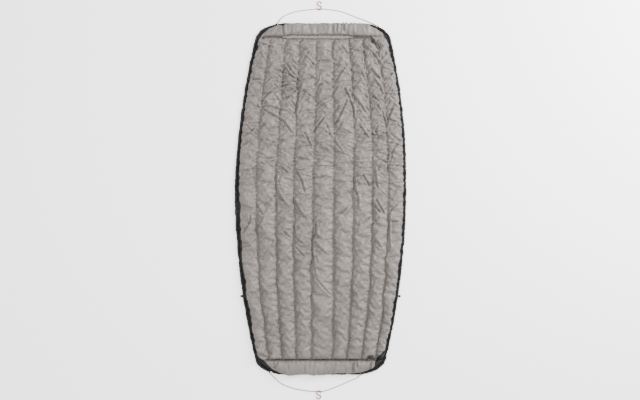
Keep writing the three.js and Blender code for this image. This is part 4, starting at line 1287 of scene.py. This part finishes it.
TAB_Y = -0.553
TAB_WIDTH = 0.012
TAB_REACH = 0.013
TAB_HEIGHT = 0.008
TAB_WALL = 0.0011


def webbing_loop(side):
    """A folded strip of webbing standing out of the side channel."""
    start = float(edge_x(side, TAB_Y, 0)) + side * 0.0014
    radius = TAB_HEIGHT / 2 - TAB_WALL / 2
    centre = TAB_REACH - TAB_HEIGHT / 2
    angle = np.linspace(-np.pi / 2, np.pi / 2, 13)
    middle = [(x, TAB_WALL / 2) for x in np.linspace(0, centre, 5)[:-1]]
    middle += [(centre + radius * math.cos(a), TAB_HEIGHT / 2 + radius * math.sin(a)) for a in angle]
    middle += [(x, TAB_HEIGHT - TAB_WALL / 2) for x in np.linspace(centre, 0, 5)[1:]]
    line = np.array([(start + side * x, 0, z + 0.0002) for x, z in middle])
    tangent = np.gradient(line, axis=0)
    tangent /= np.linalg.norm(tangent, axis=1)[:, None]
    outward = np.stack([tangent[:, 2], tangent[:, 1] * 0, -tangent[:, 0]], axis=1) * side
    width = np.linspace(-0.5, 0.5, 9)
    edge = 1 - 0.35 * (np.abs(width) * 2) ** 6
    outer = line[:, None] + outward[:, None] * (TAB_WALL / 2 * edge)[None, :, None]
    inner = line[:, None] - outward[:, None] * (TAB_WALL / 2 * edge)[None, :, None]
    outer[..., 1] = inner[..., 1] = TAB_Y + width[None, :] * TAB_WIDTH
    return closed_slab(outer, inner)


for name, side in SIDES:
    add(f"webbing_tab_{name}", webbing_loop(side), WEBBING, "black_webbing", f"side_tab_{name}")
    start = float(edge_x(side, TAB_Y, 0)) + side * 0.0022
    tack = [(start, TAB_Y - 0.005, 0.0086), (start, TAB_Y + 0.005, 0.0086)]
    stitches(f"tab_tack_{name}", [tack], 0.0, THREAD_BLACK, "black_webbing")

SLEEVE_RADIUS = 0.0039
SLEEVE_STEPS = 29
for corner, (point, unit) in EXITS.items():
    steps = np.linspace(SLEEVE_START, SLEEVE_START + SLEEVE_LENGTH, SLEEVE_STEPS)
    ribs = SLEEVE_RADIUS * (1 - 0.05 * (np.arange(SLEEVE_STEPS) % 2) - 0.14 * smooth((steps - 0.013) / 0.004))
    sleeve = tube(point + unit * steps[:, None], ribs, ribs, 16)
    add(f"sleeve_{corner}", sleeve, WEBBING, "black_webbing", f"corner_sleeve_{corner}")

PATCH_HALF = 0.0048
PATCH_THICK = 0.0018
PATCH_TURN = 0.3


def square_patch(cx, cy, z):
    """A small square patch of webbing with soft edges."""
    angle = around(24)
    square = np.maximum(np.abs(np.cos(angle)), np.abs(np.sin(angle))) ** -0.75
    turned = angle + PATCH_TURN
    rings = []
    for share, level in ((0.86, 0), (1, 0.25), (1, 0.75), (0.86, 1), (0.4, 1.12)):
        radius = PATCH_HALF * share * square
        x, y = cx + radius * np.cos(turned), cy + radius * np.sin(turned)
        rings.append(points_at(x, y, z + PATCH_THICK * level))
    return stack(rings)


for end in ENDS:
    draw = DRAW[end]
    patch = square_patch(draw["start"] - 0.009, draw["y"] - math.copysign(0.004, draw["y"]), DRAW_Z - 0.003)
    add(f"draw_anchor_{end}", patch, WEBBING, "black_webbing", f"draw_cord_anchor_{end}")

# ---- cord locks ----

LOCK_WIDTH = 0.018
LOCK_TOP = 0.0298
LOCK_BORE = 0.0058
LOCK_FLOOR = 0.0012
PLUNGER_RADIUS = 0.0055
PLUNGER_TOP = 0.0331
PLUNGER_BOTTOM = 0.0217
SLOT_HALF_WIDTH = 0.0037
SLOT_HALF_HEIGHT = 0.0019
LOCK_SIDES = 48
LOCK_SOFT = 0.0022           # rounding of the body's upper and lower edges




def oval(half_length, half_width, z):
    angle = around(LOCK_SIDES)
    return points_at(half_length * np.cos(angle), half_width * np.sin(angle), z)


def lock_rings():
    """The body from its rounded underside, up over the rounded top, and down its bore."""
    a, b = LOCK_LENGTH / 2, LOCK_WIDTH / 2
    lower, upper = [], []
    for t in np.linspace(0, np.pi / 2, 5):
        cut = LOCK_SOFT * (1 - math.sin(t))
        lower.append(oval(a - cut, b - cut, LOCK_BOTTOM + LOCK_SOFT * (1 - math.cos(t))))
        cut = LOCK_SOFT * (1 - math.cos(t))
        upper.append(oval(a - cut, b - cut, LOCK_TOP - LOCK_SOFT + LOCK_SOFT * math.sin(t)))
    waist = oval(a * 0.975, b * 0.965, (LOCK_BOTTOM + LOCK_TOP) / 2)
    bore = [oval(r, r, z) for r, z in ((LOCK_BORE + 0.0006, LOCK_TOP), (LOCK_BORE, LOCK_TOP - 0.0006),
                                       (LOCK_BORE, LOCK_BOTTOM + LOCK_FLOOR))]
    return [*lower, waist, *upper, *bore]


def plunger_rings():
    """The button, with a rim and a slightly dished top."""
    rings = [(0.0004, PLUNGER_BOTTOM), (0, PLUNGER_BOTTOM + 0.0004)]
    top = (0, 0.0014), (0.0003, 0.0007), (0.001, 0.0002), (0.0018, 0), (0.0024, 0.0004), (0.004, 0.0008)
    rings += [(cut, PLUNGER_TOP - drop) for cut, drop in top]
    return [oval(PLUNGER_RADIUS - cut, PLUNGER_RADIUS - cut, z) for cut, z in rings]


def box_part(length, width, low, high):
    corners = [(-1, -1), (1, -1), (1, 1), (-1, 1)]
    v = [(x * length / 2, y * width / 2, z) for z in (low, high) for x, y in corners]
    return v, [(3, 2, 1, 0), (4, 5, 6, 7), (0, 1, 5, 4), (1, 2, 6, 5), (2, 3, 7, 6), (3, 0, 4, 7)]


def lock_piece(name, draw, rings, slot_length, slot_low, slot_high):
    """A solid of the lock with the cord's way cut through it."""
    def solid(part_name, vertices, faces, rounded):
        return make(part_name, lock_frame(draw, vertices), faces, LOCK_PLASTIC, rounded)

    piece = solid(name, *stack(rings), True)
    cutter = solid("cutter", *box_part(slot_length, 2 * SLOT_HALF_WIDTH, slot_low, slot_high), False)
    modifier = piece.modifiers.new("way", "BOOLEAN")
    modifier.operation = "DIFFERENCE"
    modifier.solver = "EXACT"
    modifier.object = cutter
    graph = bpy.context.evaluated_depsgraph_get()
    result = bpy.data.meshes.new_from_object(piece.evaluated_get(graph))
    piece.modifiers.clear()
    piece.data = result
    bpy.data.objects.remove(cutter)
    piece.data.set_sharp_from_angle(angle=math.radians(35))
    return piece


for end in ENDS:
    draw = DRAW[end]
    slot_low, slot_high = LOCK_CORD_Z - SLOT_HALF_HEIGHT, LOCK_CORD_Z + SLOT_HALF_HEIGHT
    body = lock_piece(f"lock_body_{end}", draw, lock_rings(), LOCK_LENGTH + 0.004, slot_low, slot_high)
    place(body, ROOT, "black_plastic", f"cord_lock_body_{end}")
    # The button's way is taller, so that it clears the cord when it is pressed.
    button = lock_piece(f"lock_button_{end}", draw, plunger_rings(), 2 * PLUNGER_RADIUS + 0.002,
                        slot_low + 0.0001, slot_high + 0.003)
    place(button, f"plunger_{end}", "black_plastic", f"cord_lock_plunger_{end}")
    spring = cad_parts[f"cord_lock_spring_{end}"]
    spring.data.materials.clear()
    spring.data.materials.append(SPRING_WIRE)
    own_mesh(spring)

# ---- hooks and gates ----

HOOK_RADIUS = 0.0115
HOOK_WIRE = 0.0015
HOOK_WIRE_WIDE = 0.0026     # half the width of the slightly flattened bar
HOOK_TILT = 0.18
HOOK_SHOULDER = [(-0.0109, 0.0087), (-0.0086, 0.0066)]
HOOK_Z = 0.0041
HOOK_AT = {"head": (-0.007, 1.0996, HOOK_Z), "foot": (-0.011, -1.1146, HOOK_Z)}
GATE_PIVOT = (0.0104, -0.0039)
GATE_TIP = (0.0113, 0.0101)
GATE_WIRE = 0.0007
GATE_LENGTH = math.dist(GATE_PIVOT, GATE_TIP)
GATE_BAR = np.linspace(0.0012 / GATE_LENGTH, 0.965, 8)      # along the gate, from pivot to tip
EYE_INNER = 0.00085
EYE_OUTER = 0.0015
CHEEK_RADIUS = 0.0024
CHEEK_INNER = 0.00095
CHEEK_OUTER = 0.00175
PIN_RADIUS = 0.0006
PIN_OUTER = CHEEK_OUTER + 0.0001
DISC_SOFT = 0.0002           # rounding of a cheek's or a pin's edge


def hook_frame(end, vertices, turned=False):
    """Points given about the hook's middle, in the part's frame; the lower gate's are turned half round."""
    v = np.asarray(vertices, float)
    if turned:
        v = v * np.array([-1, -1, 1])
    c, s = math.cos(HOOK_TILT), math.sin(HOOK_TILT)
    x = v[:, 0] * c + v[:, 2] * s
    z = -v[:, 0] * s + v[:, 2] * c
    return np.stack([x, v[:, 1], z], axis=1) + np.array(HOOK_AT[end])


def hook_line():
    """The S, from its upper right nose over two loops joined by a slanting stroke."""
    turn = np.radians(np.arange(0, 181, 11.25))
    upper = [(HOOK_RADIUS * math.cos(a), HOOK_RADIUS * (1 + math.sin(a)), 0) for a in turn]
    upper += [(x, y, 0) for x, y in HOOK_SHOULDER]
    lower = [(-x, -y, 0) for x, y, _ in reversed(upper)]
    return catmull([*upper, (0, 0, 0), *lower], 4)


def disc(cx, cy, radius, low, high, sides=24):
    """A disc with softened edges."""
    soft = min(DISC_SOFT, (high - low) / 4)
    rings = ((radius - soft, low), (radius, low + soft), (radius, high - soft), (radius - soft, high))
    return stack([circle(cx, cy, r, z, sides) for r, z in rings])


def hook_solid():
    """The bent bar, and at each shoulder two cheeks with the gate's pin between them."""
    parts = [tube(hook_line(), HOOK_WIRE_WIDE, HOOK_WIRE, 16)]
    for side in (1, -1):
        x, y = GATE_PIVOT[0] * side, GATE_PIVOT[1] * side
        parts.append(disc(x, y, CHEEK_RADIUS, CHEEK_INNER, CHEEK_OUTER))
        parts.append(disc(x, y, CHEEK_RADIUS, -CHEEK_OUTER, -CHEEK_INNER))
        parts.append(disc(x, y, PIN_RADIUS, -PIN_OUTER, PIN_OUTER, 16))
    return merge(parts)


def gate_solid():
    """A straight wire from the eye that turns on the pin to the hook's tip."""
    pivot, tip = np.array([*GATE_PIVOT, 0]), np.array([*GATE_TIP, 0])
    bar = tube([pivot + (tip - pivot) * d for d in GATE_BAR], GATE_WIRE, GATE_WIRE)
    eye = [circle(*GATE_PIVOT, r, z, 24) for r, z in
           ((EYE_INNER, -GATE_WIRE), (EYE_OUTER, -GATE_WIRE), (EYE_OUTER, GATE_WIRE), (EYE_INNER, GATE_WIRE))]
    return merge([bar, stack(eye, joined=True)])


for end in ENDS:
    vertices, faces = hook_solid()
    hook = (hook_frame(end, vertices), faces)
    HOOK_PIECES[end].append(add(f"wire_hook_{end}", hook, RED_METAL, "red_anodised", f"hook_{end}",
                                body=f"hook_{end}"))
    for name, turned in (("upper", False), ("lower", True)):
        vertices, faces = gate_solid()
        gate = (hook_frame(end, vertices, turned), faces)
        HOOK_PIECES[end].append(add(f"wire_gate_{end}_{name}", gate, SPRING_WIRE, "spring_steel",
                                    f"hook_gate_{end}_{name}", body=f"gate_{end}_{name}"))

# ---- the free cords ----


def free_cord(name, route, material, slot, node, **more):
    piece = cord_curve(name, route, material)
    place(piece, ROOT, slot, node)


for end in ENDS:
    free_cord(f"end_cord_{end}", SUSPENSION[end], CORD_GREY, "grey_cord", f"suspension_cord_{end}",
              with_pieces=HOOK_PIECES[end])
    loop = draw_loop_route(DRAW[end])
    free_cord(f"pull_loop_{end}", loop, CORD_BLACK, "black_cord", f"draw_loop_{end}")
